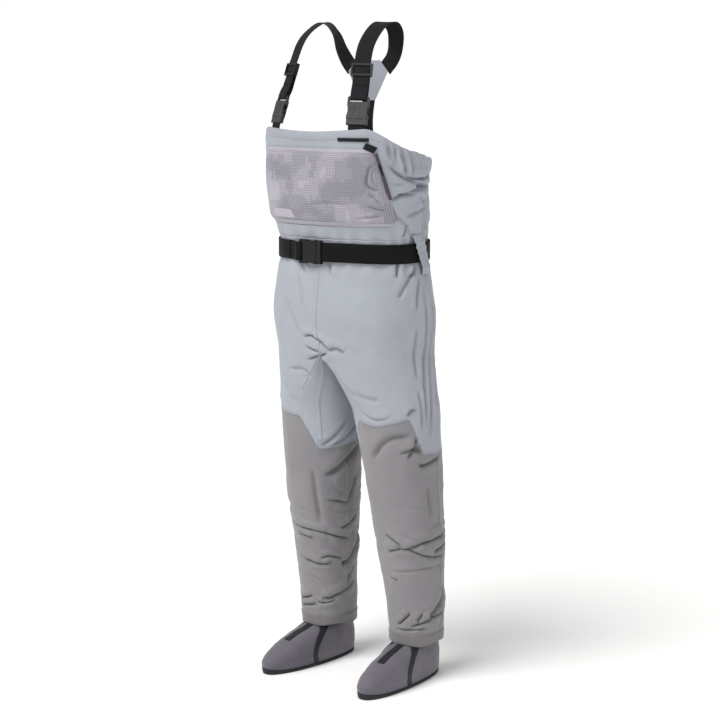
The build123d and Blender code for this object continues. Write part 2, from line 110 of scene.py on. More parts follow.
# Creases: place, depth and width in nominal millimetres, lean, then points of angle and height.
# A lean above 0 lets the upper lip of the crease hang over it.
CREASES = (
    # right shin
    ("right", 15, 12, 0.7, ((-60, 0.373), (-90, 0.364), (-120, 0.358), (-147, 0.346), (-174, 0.331))),
    ("right", 8, 9, 0.5, ((-72, 0.349), (-88, 0.342), (-104, 0.335))),
    ("right", 17, 20, 0.4, ((-206, 0.335), (-190, 0.300), (-173, 0.268), (-162, 0.263))),
    ("right", 10, 10, 0.6, ((-74, 0.281), (-95, 0.272), (-118, 0.267), (-142, 0.272))),
    ("right", 9, 9, 0.5, ((-117, 0.281), (-135, 0.288), (-162, 0.279))),
    ("right", 6, 16, 0.0, ((-112, 0.520), (-116, 0.455), (-121, 0.380))),
    ("right", 12, 24, 0.3, ((-134, 0.504), (-155, 0.520), (-175, 0.545), (-196, 0.576))),
    ("right", 6, 10, 0.3, ((-136, 0.441), (-155, 0.435), (-176, 0.424))),
    ("right", 9, 12, 0.2, ((-187, 0.494), (-179, 0.450), (-172, 0.428))),
    ("right", 10, 12, 0.4, ((-192, 0.392), (-175, 0.372), (-160, 0.360))),
    ("right", 13, 13, 0.6, ((-116, 0.171), (-140, 0.178), (-165, 0.190), (-192, 0.206))),
    ("right", 10, 9, 0.6, ((-106, 0.162), (-122, 0.161), (-147, 0.168))),
    ("right", 9, 9, 0.5, ((-58, 0.160), (-76, 0.168), (-94, 0.175))),
    ("right", 9, 8, 0.5, ((-58, 0.144), (-80, 0.150), (-100, 0.153))),
    ("right", 6, 10, 0.2, ((-190, 0.250), (-178, 0.225), (-172, 0.205))),
    # left shin
    ("left", 8, 20, 0.2, ((-97, 0.572), (-82, 0.612), (-62, 0.634), (-33, 0.640))),
    ("left", 9, 14, 0.2, ((-24, 0.632), (-32, 0.606), (-42, 0.584))),
    ("left", 8, 12, 0.3, ((-54, 0.596), (-34, 0.607), (-20, 0.600))),
    ("left", 9, 13, 0.4, ((-26, 0.562), (-6, 0.567), (14, 0.580))),
    ("left", 6, 22, 0.0, ((-13, 0.510), (-10, 0.430))),
    ("left", 10, 12, 0.4, ((-94, 0.384), (-82, 0.373), (-68, 0.365))),
    ("left", 15, 13, 0.7, ((-60, 0.361), (-32, 0.369), (-8, 0.375), (18, 0.380))),
    ("left", 17, 12, 0.7, ((-95, 0.338), (-82, 0.352), (-62, 0.357), (-42, 0.349),
                           (-28, 0.339), (-10, 0.330), (16, 0.324))),
    ("left", 14, 13, 0.4, ((22, 0.366), (8, 0.352), (-9, 0.342))),
    ("left", 3, 9, 0.3, ((-92, 0.288), (-50, 0.297), (-8, 0.300))),
    ("left", 7, 8, 0.3, ((-95, 0.274), (-86, 0.267))),
    ("left", 15, 20, 0.4, ((20, 0.238), (8, 0.206), (-8, 0.186), (-23, 0.172))),
    ("left", 10, 10, 0.5, ((-92, 0.149), (-77, 0.169), (-65, 0.182))),
    ("left", 13, 11, 0.6, ((-64, 0.148), (-35, 0.162), (-5, 0.172), (14, 0.183))),
    ("left", 9, 10, 0.4, ((-51, 0.166), (-37, 0.181))),
    ("left", 7, 7, 0.4, ((-96, 0.138), (-60, 0.141), (-28, 0.144))),
    # bib beside the pocket, wearer's left
    ("trunk", 11, 16, 0.5, ((-30, 1.292), (-16, 1.266), (-2, 1.250), (14, 1.243))),
    ("trunk", 9, 14, 0.4, ((-30, 1.206), (-18, 1.220), (-4, 1.230), (10, 1.236))),
    ("trunk", 6, 15, 0.2, ((-26, 1.332), (-22, 1.306), (-19, 1.278))),
    ("trunk", 6, 12, 0.2, ((-13, 1.318), (-12, 1.296), (-9, 1.272))),
    ("trunk", 5, 13, 0.2, ((-24, 1.172), (-14, 1.150), (-8, 1.124))),
    # crotch and thighs
    ("trunk", 11, 10, 0.5, ((-101, 0.872), (-95, 0.878), (-91, 0.873), (-87, 0.861), (-83, 0.842))),
    ("trunk", 9, 9, 0.4, ((-100, 0.850), (-95, 0.843), (-89, 0.838))),
    ("trunk", 8, 10, 0.3, ((-97, 0.814), (-91, 0.826), (-85, 0.836))),
    ("trunk", 7, 14, 0.3, ((-84, 0.845), (-78, 0.848), (-72, 0.837))),
    ("trunk", 5, 12, 0.2, ((-118, 0.962), (-110, 0.925), (-105, 0.892), (-100, 0.868))),
    ("right", 4, 14, 0.2, ((-64, 0.780), (-82, 0.786), (-93, 0.765))),
    ("right", 4, 16, 0.2, ((-62, 0.742), (-75, 0.716), (-90, 0.694))),
    ("right", 7, 12, 0.3, ((-128, 0.584), (-150, 0.610), (-172, 0.652))),
    ("right", 6, 10, 0.3, ((-146, 0.584), (-166, 0.600), (-186, 0.632))),
    ("left", 4, 12, 0.2, ((-102, 0.692), (-84, 0.677), (-60, 0.684))),
    ("left", 5, 9, 0.2, ((-36, 0.688), (-28, 0.700), (-20, 0.703))),
    ("left", 4, 20, 0.1, ((-92, 0.740), (-76, 0.726), (-64, 0.728))),
    # below the belt
    ("trunk", 4, 13, 0.0, ((-109, 1.030), (-104, 1.000), (-101, 0.970), (-100, 0.940))),
    ("trunk", 4, 9, 0.0, ((-86, 1.066), (-83, 1.045), (-81, 1.018))),
    ("trunk", 4, 8, 0.0, ((-107, 1.058), (-103, 1.040), (-98, 1.025))),
    ("trunk", 10, 8, 0.2, ((-22, 1.072), (-25, 1.050), (-26, 1.026))),
    ("trunk", 6, 14, 0.2, ((-3, 1.042), (-16, 1.012), (-27, 0.974))),
    ("trunk", 7, 11, 0.1, ((-1, 1.020), (-6, 0.985), (-8, 0.945))),
    ("trunk", 8, 8, 0.2, ((-2, 1.048), (-8, 1.036), (-13, 1.026))),
    ("trunk", 12, 11, 0.2, ((12, 1.070), (12, 1.052), (9, 1.032))),
    ("trunk", 9, 13, 0.2, ((-132, 1.070), (-134, 1.052), (-137, 1.030))),
    # puckers beside the outer seam
    ("trunk", 8, 12, 0.1, ((1, 1.005), (3, 0.930), (2, 0.860), (-2, 0.790), (-5, 0.720), (-8, 0.655))),
    ("trunk", 8, 11, 0.1, ((10, 0.975), (11, 0.900), (8, 0.830), (4, 0.760), (2, 0.700), (-1, 0.630))),
    ("trunk", 6, 10, 0.1, ((-8, 0.905), (-11, 0.845), (-12, 0.775))),
    ("trunk", 6, 10, 0.1, ((-13, 0.750), (-13, 0.705), (-15, 0.650))),
    ("trunk", 7, 13, 0.1, ((19, 0.960), (18, 0.870), (20, 0.790), (16, 0.700))),
    # bib, wearer's left side
    ("trunk", 6, 9, 0.1, ((-18, 1.332), (-18, 1.305), (-16, 1.275))),
    ("trunk", 8, 9, 0.1, ((-10, 1.326), (-9, 1.300), (-10, 1.272))),
    ("trunk", 7, 8, 0.1, ((-2, 1.318), (-2, 1.298), (-5, 1.268))),
    ("trunk", 4, 10, 0.0, ((-26, 1.345), (-26, 1.320), (-25, 1.300))),
    ("trunk", 13, 11, 0.6, ((-11, 1.268), (0, 1.262), (10, 1.261), (20, 1.268))),
    ("trunk", 12, 14, 0.3, ((-2, 1.242), (12, 1.238), (28, 1.236))),
    ("trunk", 6, 9, 0.4, ((-22, 1.225), (-12, 1.222), (-3, 1.222))),
    ("trunk", 3, 12, 0.1, ((-28, 1.246), (-12, 1.243))),
    ("trunk", 9, 8, 0.2, ((-10, 1.150), (-14, 1.136), (-17, 1.118))),
    ("trunk", 6, 10, 0.2, ((0, 1.218), (6, 1.198), (11, 1.178))),
    ("trunk", 5, 14, 0.2, ((-13, 1.168), (0, 1.178), (12, 1.190))),
    ("trunk", 9, 45, 0.0, ((22, 1.225), (14, 1.170), (18, 1.130))),
    # bib, wearer's right side and back
    ("trunk", 6, 10, 0.1, ((-166, 1.330), (-167, 1.300), (-169, 1.272))),
    ("trunk", 7, 9, 0.1, ((-176, 1.322), (-175, 1.296), (-172, 1.270))),
    ("trunk", 10, 11, 0.5, ((-200, 1.262), (-188, 1.256), (-172, 1.262))),
    ("trunk", 8, 14, 0.3, ((-205, 1.225), (-190, 1.216), (-172, 1.222))),
    ("trunk", 7, 12, 0.3, ((38, 1.240), (58, 1.226), (78, 1.230))),
    ("trunk", 8, 13, 0.3, ((104, 1.218), (124, 1.206), (146, 1.216))),
    ("trunk", 9, 12, 0.4, ((30, 1.140), (52, 1.150), (74, 1.140))),
    ("trunk", 8, 12, 0.4, ((108, 1.142), (132, 1.152), (152, 1.140))),
    ("trunk", 6, 14, 0.2, ((60, 1.195), (90, 1.184), (112, 1.192))),
    # seat and the backs of the legs
    ("trunk", 7, 14, 0.2, ((40, 1.050), (46, 1.010), (44, 0.965))),
    ("trunk", 6, 13, 0.1, ((68, 1.058), (72, 1.010), (80, 0.960))),
    ("trunk", 6, 13, 0.1, ((112, 1.056), (108, 1.010), (100, 0.955))),
    ("trunk", 7, 14, 0.2, ((142, 1.050), (136, 1.004), (140, 0.955))),
    ("trunk", 9, 15, 0.4, ((44, 0.868), (64, 0.848), (84, 0.852))),
    ("trunk", 9, 15, 0.4, ((98, 0.850), (118, 0.846), (138, 0.866))),
    ("left", 9, 14, 0.4, ((58, 0.770), (84, 0.752), (116, 0.762))),
    ("right", 9, 14, 0.4, ((54, 0.760), (82, 0.744), (114, 0.752))),
    ("left", 14, 15, 0.6, ((44, 0.520), (74, 0.502), (108, 0.510), (134, 0.528))),
    ("left", 12, 13, 0.6, ((50, 0.470), (84, 0.456), (120, 0.468))),
    ("left", 13, 13, 0.6, ((38, 0.352), (70, 0.338), (108, 0.346), (140, 0.362))),
    ("left", 10, 11, 0.5, ((60, 0.296), (90, 0.288), (126, 0.298))),
    ("left", 11, 12, 0.6, ((36, 0.196), (72, 0.186), (112, 0.194))),
    ("left", 9, 9, 0.5, ((60, 0.152), (96, 0.146), (140, 0.154))),
    ("right", 14, 15, 0.6, ((40, 0.508), (76, 0.494), (112, 0.506), (136, 0.520))),
    ("right", 11, 13, 0.5, ((52, 0.452), (86, 0.440), (118, 0.450))),
    ("right", 13, 13, 0.6, ((34, 0.360), (66, 0.344), (104, 0.350))),
    ("right", 10, 11, 0.5, ((56, 0.284), (92, 0.276), (130, 0.288))),
    ("right", 11, 11, 0.6, ((40, 0.200), (76, 0.190), (118, 0.198))),
    ("right", 9, 9, 0.5, ((54, 0.156), (90, 0.150), (130, 0.156))),
)


# ---- curves and surfaces ------------------------------------------------------------------
def unit(vectors):
    return vectors / np.maximum(np.linalg.norm(vectors, axis=-1, keepdims=True), 1e-12)


def smooth_rows(table, at):
    """The table's other columns where its first column is at, on a smooth curve through its rows."""
    rows = np.array(sorted(table), float)
    x, y = rows[:, 0], rows[:, 1:]
    slope = np.gradient(y, x, axis=0)
    i = np.clip(np.searchsorted(x, at) - 1, 0, len(x) - 2)
    gap = x[i + 1] - x[i]
    t = np.clip((at - x[i]) / gap, 0, 1)[..., None]
    gap = gap[..., None]
    low = (2 * t**3 - 3 * t**2 + 1) * y[i] + (t**3 - 2 * t**2 + t) * gap * slope[i]
    return low + (3 * t**2 - 2 * t**3) * y[i + 1] + (t**3 - t**2) * gap * slope[i + 1]


def smooth_path(points, count):
    """count points on a smooth curve through the given ones."""
    table = [(i,) + tuple(p) for i, p in enumerate(points)]
    return smooth_rows(table, np.linspace(0, len(points) - 1, count))


def power(value, squareness):
    return np.sign(value) * np.abs(value) ** (2.0 / squareness)


def trunk_section(angle, z, out=0.0):
    """A point of the trunk's plain form, or out metres from it, as a belt lies."""
    angle, z = np.broadcast_arrays(np.asarray(angle, float), np.asarray(z, float))
    half, front, middle, back, square = np.moveaxis(smooth_rows(TRUNK, z), -1, 0)
    c = power(np.cos(np.radians(angle)), square)
    s = power(np.sin(np.radians(angle)), square)
    depth = np.where(s > 0, back - middle, middle - front) + out
    return np.stack([(half + out) * c, middle + depth * s, z], -1)


def leg_section(angle, z):
    inner, outer, middle, depth = np.moveaxis(smooth_rows(LEG, z), -1, 0)
    flat = np.clip((z - 0.700) / (CROTCH_Z - 0.700), 0, 1)
    c = power(np.cos(np.radians(angle)), 2.2)
    s = power(np.sin(np.radians(angle)), 2.2)
    round_x = (inner + outer) / 2 + (outer - inner) / 2 * c
    flat_x = np.where(c > 0, outer * c, inner)
    return np.stack([flat_x * flat + round_x * (1 - flat), middle + depth * s, z], -1)


def plain_form(place, angle, z):
    """The garment's form without creases. Places are trunk, left (leg) and right (leg)."""
    angle, z = np.broadcast_arrays(np.asarray(angle, float), np.asarray(z, float))
    if place == "trunk":
        right = np.cos(np.radians(angle)) < 0
        turned = np.where(right, 180 - angle, angle)
        low = leg_section(turned, np.minimum(z, CROTCH_Z))
        low[..., 0] *= np.where(right, -1, 1)
        low[..., 2] = z
        return np.where((z < CROTCH_Z)[..., None], low, trunk_section(angle, z))
    low = leg_section(angle, np.minimum(z, CROTCH_Z))
    low[..., 2] = z
    high = (z > CROTCH_Z) & (np.cos(np.radians(angle)) >= 0)
    points = np.where(high[..., None], trunk_section(angle, z), low)
    points[..., 0] *= SIDES[place]
    return points


def form_normals(form, place, angle, z):
    across = form(place, angle + 0.6, z) - form(place, angle - 0.6, z)
    along = form(place, angle, z + 0.003) - form(place, angle, z - 0.003)
    outwards = unit(np.cross(across, along))
    return -outwards if place == "right" else outwards


def value_noise(points, seed):
    """Smooth noise from -1 to 1. One unit of points is one cell."""
    cell = np.floor(points).astype(np.int64)
    part = points - cell
    part = part * part * (3 - 2 * part)
    total = np.zeros(points.shape[:-1])
    for corner in np.ndindex(2, 2, 2):
        x, y, z = np.moveaxis(cell + np.array(corner), -1, 0)
        key = (x * 73856093) ^ (y * 19349663) ^ (z * 83492791) ^ (seed * 2654435)
        key = ((key ^ (key >> 13)) * 1274126177) & 0x7FFFFFFF
        value = ((key ^ (key >> 16)) & 0xFFFF) / 32767.5 - 1
        total += value * np.prod(np.where(np.array(corner) > 0, part, 1 - part), -1)
    return total


CREASE_DEPTH = 0.00140     # metres of real depth for each nominal millimetre
CREASE_WIDTH = 0.00080


def crease_paths(table):
    """Each crease as a dense path on the plain form, with the form's normals along it."""
    paths = []
    for place, depth, width, lean, points in table:
        dense = smooth_path(points, 6 * len(points))
        path = plain_form(place, dense[:, 0], dense[:, 1])
        normals = form_normals(plain_form, place, dense[:, 0], dense[:, 1])
        paths.append((depth * CREASE_DEPTH, width * CREASE_WIDTH, lean, path, normals))
    return paths


def press_creases(points, normals, paths):
    """Pushes each crease's valley in and raises soft shoulders beside it."""
    moved = points.copy()
    for depth, width, lean, path, path_normals in paths:
        reach = 3.2 * width
        near = np.all((points > path.min(0) - reach) & (points < path.max(0) + reach), -1)
        p, n = points[near], normals[near]
        if not len(p):
            continue
        best = np.full(len(p), 1e9)
        signed = np.zeros(len(p))
        along = np.zeros(len(p))
        upwards = np.zeros_like(p)
        for i in range(len(path) - 1):
            step = path[i + 1] - path[i]
            t = np.clip(((p - path[i]) @ step) / (step @ step), 0, 1)
            away = p - path[i] - t[:, None] * step
            distance = np.linalg.norm(away, axis=1)
            side = unit(np.cross(path_normals[i], step))
            side = side if side[2] >= 0 else -side
            closer = (distance < best) & (n @ path_normals[i] > 0.1)
            best[closer] = distance[closer]
            signed[closer] = np.where(away @ side >= 0, distance, -distance)[closer]
            along[closer] = (i + t[closer]) / (len(path) - 1)
            upwards[closer] = side
        t = signed / width
        ends = np.clip(6.5 * along * (1 - along), 0, 1) ** 0.8
        ends = ends * np.exp(-np.clip(best / width - 2.2, 0, 9) ** 2)
        valley = -np.exp(-((t - 0.1) * 2.4) ** 2)
        shoulders = 0.26 * np.exp(-((t - 1.3) / 1.0) ** 2) + 0.16 * np.exp(-((t + 1.4) / 1.0) ** 2)
        hang = lean * np.exp(-((t - 0.75) / 0.6) ** 2) * 0.55
        push = n * (depth * (valley + shoulders) * ends)[:, None]
        moved[near] += push - upwards * (depth * hang * ends)[:, None]
    return moved


CREASE_PATHS = crease_paths(CREASES)


def rim_height(angle):
    folded = np.abs((np.asarray(angle, float) + 90) % 360 - 180)
    table = np.array(RIM, float)
    return smooth_rows(RIM, np.clip(90 - folded, table[0, 0], table[-1, 0]))[..., 0]


def trunk_relief(angle, z):
    """How far the trunk's cloth stands out: gathers under the rim, the rolled edge, belt pleats."""
    below_rim = rim_height(angle) - z
    side = np.clip((np.sin(np.radians(angle)) + 0.45) / 0.5, 0, 1)
    pleats = np.sin(np.radians(angle) * 38 + 1.5 * np.sin(np.radians(angle) * 7))
    relief = 0.0022 * side * pleats * np.exp(-(below_rim / 0.030) ** 2)
    turned = (angle + 180) % 360 - 180
    roll = np.exp(-((turned - 24) / 20) ** 2) + 0.6 * np.exp(-((turned - 158) / 20) ** 2)
    relief += 0.016 * roll * np.exp(-((below_rim - 0.006) / 0.026) ** 2)
    at_belt = np.exp(-((z - BELT_Z) / 0.032) ** 2)
    folds = np.sin(np.radians(angle) * 27 + 2.0 * np.sin(np.radians(angle) * 5 + 1))
    relief += 0.0020 * folds * np.exp(-((np.abs(z - BELT_Z) - 0.034) / 0.022) ** 2)
    return relief - 0.0015 * at_belt


def skin(place, angle, z):
    """The garment's outer surface with every crease and gather."""
    angle, z = np.broadcast_arrays(np.asarray(angle, float), np.asarray(z, float))
    points = plain_form(place, angle, z)
    normals = form_normals(plain_form, place, angle, z)
    shape = points.shape
    flat = press_creases(points.reshape(-1, 3), normals.reshape(-1, 3), CREASE_PATHS).reshape(shape)
    slack = 0
    for height, cells, seed in ((0.0016, (16, 16, 11), 3), (0.0008, (42, 42, 30), 5),
                                (0.0003, (120, 120, 90), 8)):
        slack = slack + height * value_noise(points * np.array(cells), seed)
    belt_calm = 1 - 0.7 * np.exp(-((z - BELT_Z) / 0.035) ** 2)
    # slack folds: broad swells and thin valley lines, stronger towards the shins
    lower = np.clip((0.60 - z) / 0.18, 0, 1)
    drape = value_noise(points * np.array([9, 9, 13]), 12)
    lines = value_noise(points * np.array([9, 9, 27]) + points[..., [2, 0, 0]] * 6, 31)
    sharp = np.exp(-((lines - 0.1 * drape) / 0.13) ** 2)
    relief = slack * belt_calm + (0.0010 + 0.0020 * lower) * drape
    relief = relief - (0.0004 + 0.0026 * lower) * sharp * np.clip(0.5 + 0.8 * drape, 0, 1)
    if place == "trunk":
        relief = relief + np.where(z > CROTCH_Z, trunk_relief(angle, np.maximum(z, CROTCH_Z)), 0)
    return flat + normals * relief[..., None]


def even_angles(place, z, first, last, step):
    """Angles from first to last that are evenly spaced along the section at height z."""
    dense = np.linspace(first, last, 600)
    points = plain_form(place, dense, z)
    length = np.concatenate([[0], np.cumsum(np.linalg.norm(np.diff(points, axis=0), axis=1))])
    count = max(3, round(length[-1] / step) + 1)
    return np.interp(np.linspace(0, length[-1], count), length, dense)


# ---- meshes -------------------------------------------------------------------------------
def mesh_object(name, points, faces, uv, materials):
    """A smooth-shaded mesh object. uv gives one pair for each point, in metres of cloth."""
    mesh = bpy.data.meshes.new(name)
    mesh.from_pydata([tuple(p) for p in points], [], [tuple(f) for f in faces])
    layer = mesh.uv_layers.new(name="Cloth")
    corners = np.empty(len(mesh.loops), np.int32)
    mesh.loops.foreach_get("vertex_index", corners)
    layer.data.foreach_set("uv", np.asarray(uv, np.float32)[corners].ravel())
    mesh.polygons.foreach_set("use_smooth", np.ones(len(mesh.polygons), bool))
    for material in materials:
        mesh.materials.append(material)
    mesh.update()
    piece = bpy.data.objects.new(name, mesh)
    bpy.context.scene.collection.objects.link(piece)
    return piece


def grid_faces(rows, columns, wrap=False, start=0):
    """Quads of a grid whose points are listed row by row, seen from outside."""
    faces = []
    for r in range(rows - 1):
        for c in range(columns if wrap else columns - 1):
            d = (c + 1) % columns
            low, high = start + r * columns, start + (r + 1) * columns
            faces.append((low + c, low + d, high + d, high + c))
    return faces


def surface_piece(name, points, uv, material, flip=False, wrap=False, thick=CLOTH):
    """A sheet given as a grid of points (rows, columns, 3), with its own inner face and rim."""
    rows, columns = points.shape[:2]
    faces = grid_faces(rows, columns, wrap)
    if flip:
        faces = [face[::-1] for face in faces]
    piece = mesh_object(name, points.reshape(-1, 3), faces, uv.reshape(-1, 2), [material])
    if thick:
        wall = piece.modifiers.new("wall", "SOLIDIFY")
        wall.thickness = thick
        wall.offset = -1
    return piece


def joined(name, parts, materials):
    """One object from several (points, faces, uv, material index) parts."""
    points, faces, uv, indices = [], [], [], []
    for part_points, part_faces, part_uv, index in parts:
        start = len(points)
        points.extend(np.asarray(part_points).reshape(-1, 3).tolist())
        faces.extend(tuple(start + i for i in face) for face in part_faces)
        uv.extend(np.asarray(part_uv).reshape(-1, 2).tolist())
        indices.extend([index] * len(part_faces))
    piece = mesh_object(name, points, faces, uv, materials)
    piece.data.polygons.foreach_set("material_index", np.array(indices, np.int32))
    shell = bmesh.new()
    shell.from_mesh(piece.data)
    bmesh.ops.recalc_face_normals(shell, faces=shell.faces)
    shell.to_mesh(piece.data)
    shell.free()
    return piece


def swept(path, across, outwards, profile, caps=True):
    """A solid strip: a closed profile of (across, outwards) pairs carried along a path."""
    path, across, outwards = (np.asarray(a, float) for a in (path, across, outwards))
    profile = np.asarray(profile, float)
    points = (path[:, None] + across[:, None] * profile[None, :, :1]
              + outwards[:, None] * profile[None, :, 1:])
    length = np.concatenate([[0], np.cumsum(np.linalg.norm(np.diff(path, axis=0), axis=1))])
    rows, columns = points.shape[:2]
    uv = np.empty((rows, columns, 2))
    uv[..., 0] = profile[None, :, 0]
    uv[..., 1] = length[:, None]
    faces = grid_faces(rows, columns, wrap=True)
    if caps:
        last = (rows - 1) * columns
        faces += [tuple(range(columns))[::-1], tuple(last + i for i in range(columns))]
    return points, faces, uv, 0


def webbing_profile(width, thickness, lip=5):
    """Cross-section of flat webbing with rounded selvedges, anticlockwise."""
    half, radius = width / 2, thickness / 2
    flat = half - radius
    turns = np.radians(np.linspace(-90, 90, lip))
    right = [(flat + radius * math.cos(t), radius * math.sin(t)) for t in turns]
    top = [(flat * s, radius) for s in (0.5, 0.0, -0.5)]
    left = [(-x, -y) for x, y in right]
    bottom = [(flat * s, -radius) for s in (-0.5, 0.0, 0.5)]
    return right + top + left + bottom


def frames_along(path, across):
    """Each point's across direction made square to the path, and the direction outwards."""
    path = np.asarray(path, float)
    run = unit(np.gradient(path, axis=0))
    across = np.broadcast_to(np.asarray(across, float), path.shape)
    across = unit(across - run * np.sum(across * run, -1, keepdims=True))
    return across, np.cross(run, across)


def webbing(name, path, across, width, thick, material):
    """A length of flat webbing along a path."""
    wide, outwards = frames_along(path, across)
    return joined(name, [swept(path, wide, outwards, webbing_profile(width, thick))], [material])


def on_skin(place, points, count, proud=0.0):
    """A path on the garment through points of angle and height: places, across, outwards."""
    dense = smooth_path(points, count)
    angle, z = dense[:, 0], dense[:, 1]
    path = skin(place, angle, z)
    outwards = form_normals(skin, place, angle, z)
    run = unit(np.gradient(path, axis=0))
    across = unit(np.cross(run, outwards))
    return path + outwards * proud, across, unit(np.cross(across, run))


def seam_tape(place, points, width=0.008, proud=0.0004):
    """A narrow raised seam laid on the garment."""
    count = max(8, int(40 * path_length(place, points) / 0.15))
    path, across, outwards = on_skin(place, points, count, proud)
    half, rise = width / 2, 0.0008
    profile = ((-half, -0.0012), (half, -0.0012), (half, 0), (half * 0.7, rise), (0, rise * 1.1),
               (-half * 0.7, rise), (-half, 0))
    return swept(path, across, outwards, profile)


def path_length(place, points):
    path = plain_form(place, *np.array(points, float).T)
    return float(np.linalg.norm(np.diff(path, axis=0), axis=1).sum())


def stitches(place, points, pitch=0.0042, side=0.0, proud=0.0009, tag=2):
    """A row of small raised stitches on the garment, side metres across from the path."""
    count = max(3, int(path_length(place, points) / pitch))
    path, across, outwards = on_skin(place, points, count, proud)
    path = path + across * side
    return stitch_row(path, across, outwards, pitch, tag)


def stitch_row(path, across, outwards, pitch, tag):
    run = unit(np.gradient(path, axis=0))
    points, faces, uv = [], [], []
    half, wide, tall = pitch * 0.36, 0.00038, 0.00045
    for p, a, o, r in zip(path, across, outwards, run):
        start = len(points)
        points += [p - r * half, p + r * half]
        for t in (-0.45, 0.45):
            middle = p + r * half * t * 1.4
            points += [middle + a * wide, middle + o * tall, middle - a * wide]
        tail, head = start, start + 1
        low, high = start + 2, start + 5
        faces += [(low, high, high + 1, low + 1), (low + 1, high + 1, high + 2, low + 2)]
        faces += [(tail, low, low + 1), (tail, low + 1, low + 2)]
        faces += [(head, high + 1, high), (head, high + 2, high + 1)]
        uv += [(0, 0)] * 8
    return points, faces, uv, tag


# ---- materials ----------------------------------------------------------------------------
def srgb(r, g, b):
    """A colour given as 0 to 255 in sRGB, as the linear colour that a shader takes."""
    def channel(c):
        c = c / 255
        return c / 12.92 if c <= 0.04045 else ((c + 0.055) / 1.055) ** 2.4
    return (channel(r), channel(g), channel(b), 1.0)


class Nodes:
    """Short calls for building one material's nodes."""

    def __init__(self, name, roughness, **sockets):
        self.material = bpy.data.materials.new(name)
        self.material.use_nodes = True
        self.tree = self.material.node_tree
        self.shader = self.tree.nodes["Principled BSDF"]
        self.shader.inputs["Roughness"].default_value = roughness
        for socket, value in sockets.items():
            self.shader.inputs[socket.replace("_", " ")].default_value = value

    def add(self, kind, settings=None, **inputs):
        node = self.tree.nodes.new("ShaderNode" + kind)
        for key, value in (settings or {}).items():
            setattr(node, key, value)
        for key, value in inputs.items():
            self.set(node, key.replace("_", " "), value)
        return node

    def set(self, node, socket, value):
        target = node.inputs[int(socket)] if socket.isdigit() else node.inputs[socket]
        if isinstance(value, bpy.types.NodeSocket):
            self.tree.links.new(value, target)
        else:
            target.default_value = value

    def maths(self, operation, a, b=0.0, c=0.0):
        node = self.add("Math", {"operation": operation})
        for i, value in enumerate((a, b, c)):
            self.set(node, str(i), value)
        return node.outputs[0]

    def cloth(self, scale=(1.0, 1.0, 1.0)):
        """Coordinates in metres of cloth, scaled."""
        uv = self.add("UVMap", {"uv_map": "Cloth"})
        return self.add("Mapping", Vector=uv.outputs["UV"], Scale=scale).outputs[0]

    def place(self, scale=(1.0, 1.0, 1.0)):
        """Coordinates in metres of the object's own space, scaled."""
        where = self.add("TexCoord").outputs["Object"]
        return self.add("Mapping", Vector=where, Scale=scale).outputs[0]

    def noise(self, vector, scale, detail=3.0, roughness=0.5):
        node = self.add("TexNoise", Vector=vector, Scale=scale, Detail=detail, Roughness=roughness)
        return node.outputs["Fac"]

    def ramp(self, value, *stops):
        """A colour ramp. Each stop is a position and a colour."""
        node = self.add("ValToRGB", Fac=value)
        elements = node.color_ramp.elements
        while len(elements) < len(stops):
            elements.new(0.5)
        for element, (position, colour) in zip(elements, stops):
            element.position = position
            element.color = colour
        return node.outputs["Color"]

    def mix(self, factor, a, b, kind="MIX"):
        node = self.add("Mix", {"data_type": "RGBA", "blend_type": kind})
        self.set(node, "0", factor)
        self.set(node, "6", a)
        self.set(node, "7", b)
        return node.outputs[2]

    def weave(self, pitch, lift=1.0):
        """Height of a plain weave whose threads are pitch metres apart, from 0 to 1."""
        x, y = self.threads(pitch)
        return self.maths("MULTIPLY", self.maths("MAXIMUM", x, y), lift)

    def threads(self, pitch):
        split = self.add("SeparateXYZ", Vector=self.cloth((math.pi / pitch,) * 3))
        return [self.maths("ABSOLUTE", self.maths("SINE", split.outputs[i])) for i in (0, 1)]

    def bump(self, height, distance, strength=1.0, under=None):
        node = self.add("Bump", Height=height, Distance=distance, Strength=strength)
        if under is not None:
            self.set(node, "Normal", under)
        return node.outputs[0]

    def colour(self, value):
        self.set(self.shader, "Base Color", value)

    def rough(self, value, low, high):
        node = self.add("MapRange", Value=value)
        node.inputs["To Min"].default_value = low
        node.inputs["To Max"].default_value = high
        self.set(self.shader, "Roughness", node.outputs[0])

    def finish(self, normal):
        self.set(self.shader, "Normal", normal)
        return self.material


def cloth_material(name, light, dark, pitch, roughness, sheen, sheen_tint):
    """Laminated waterproof cloth: a fine weave, faint mottling, and slight soiling."""
    n = Nodes(name, roughness, Sheen_Weight=sheen, Sheen_Roughness=0.45, Sheen_Tint=sheen_tint,
              Specular_IOR_Level=0.3)
    broad = n.noise(n.place(), 9.0, 4.0, 0.55)
    streaks = n.noise(n.cloth((700.0, 90.0, 1.0)), 1.0, 2.0)
    base = n.ramp(broad, (0.3, dark), (0.7, light))
    yarn = n.mix(0.16, base, n.ramp(streaks, (0.35, dark), (0.7, light)))
    threads = n.weave(pitch)
    n.colour(n.mix(0.10, yarn, n.ramp(threads, (0.55, dark), (1.0, light))))
    n.rough(n.noise(n.place(), 35.0), roughness - 0.08, roughness + 0.08)
    crinkle = n.bump(n.noise(n.place((1.0, 1.0, 1.0)), 90.0, 4.0, 0.6), 0.0009, 0.5)
    return n.finish(n.bump(threads, 0.00025, 0.7, crinkle))


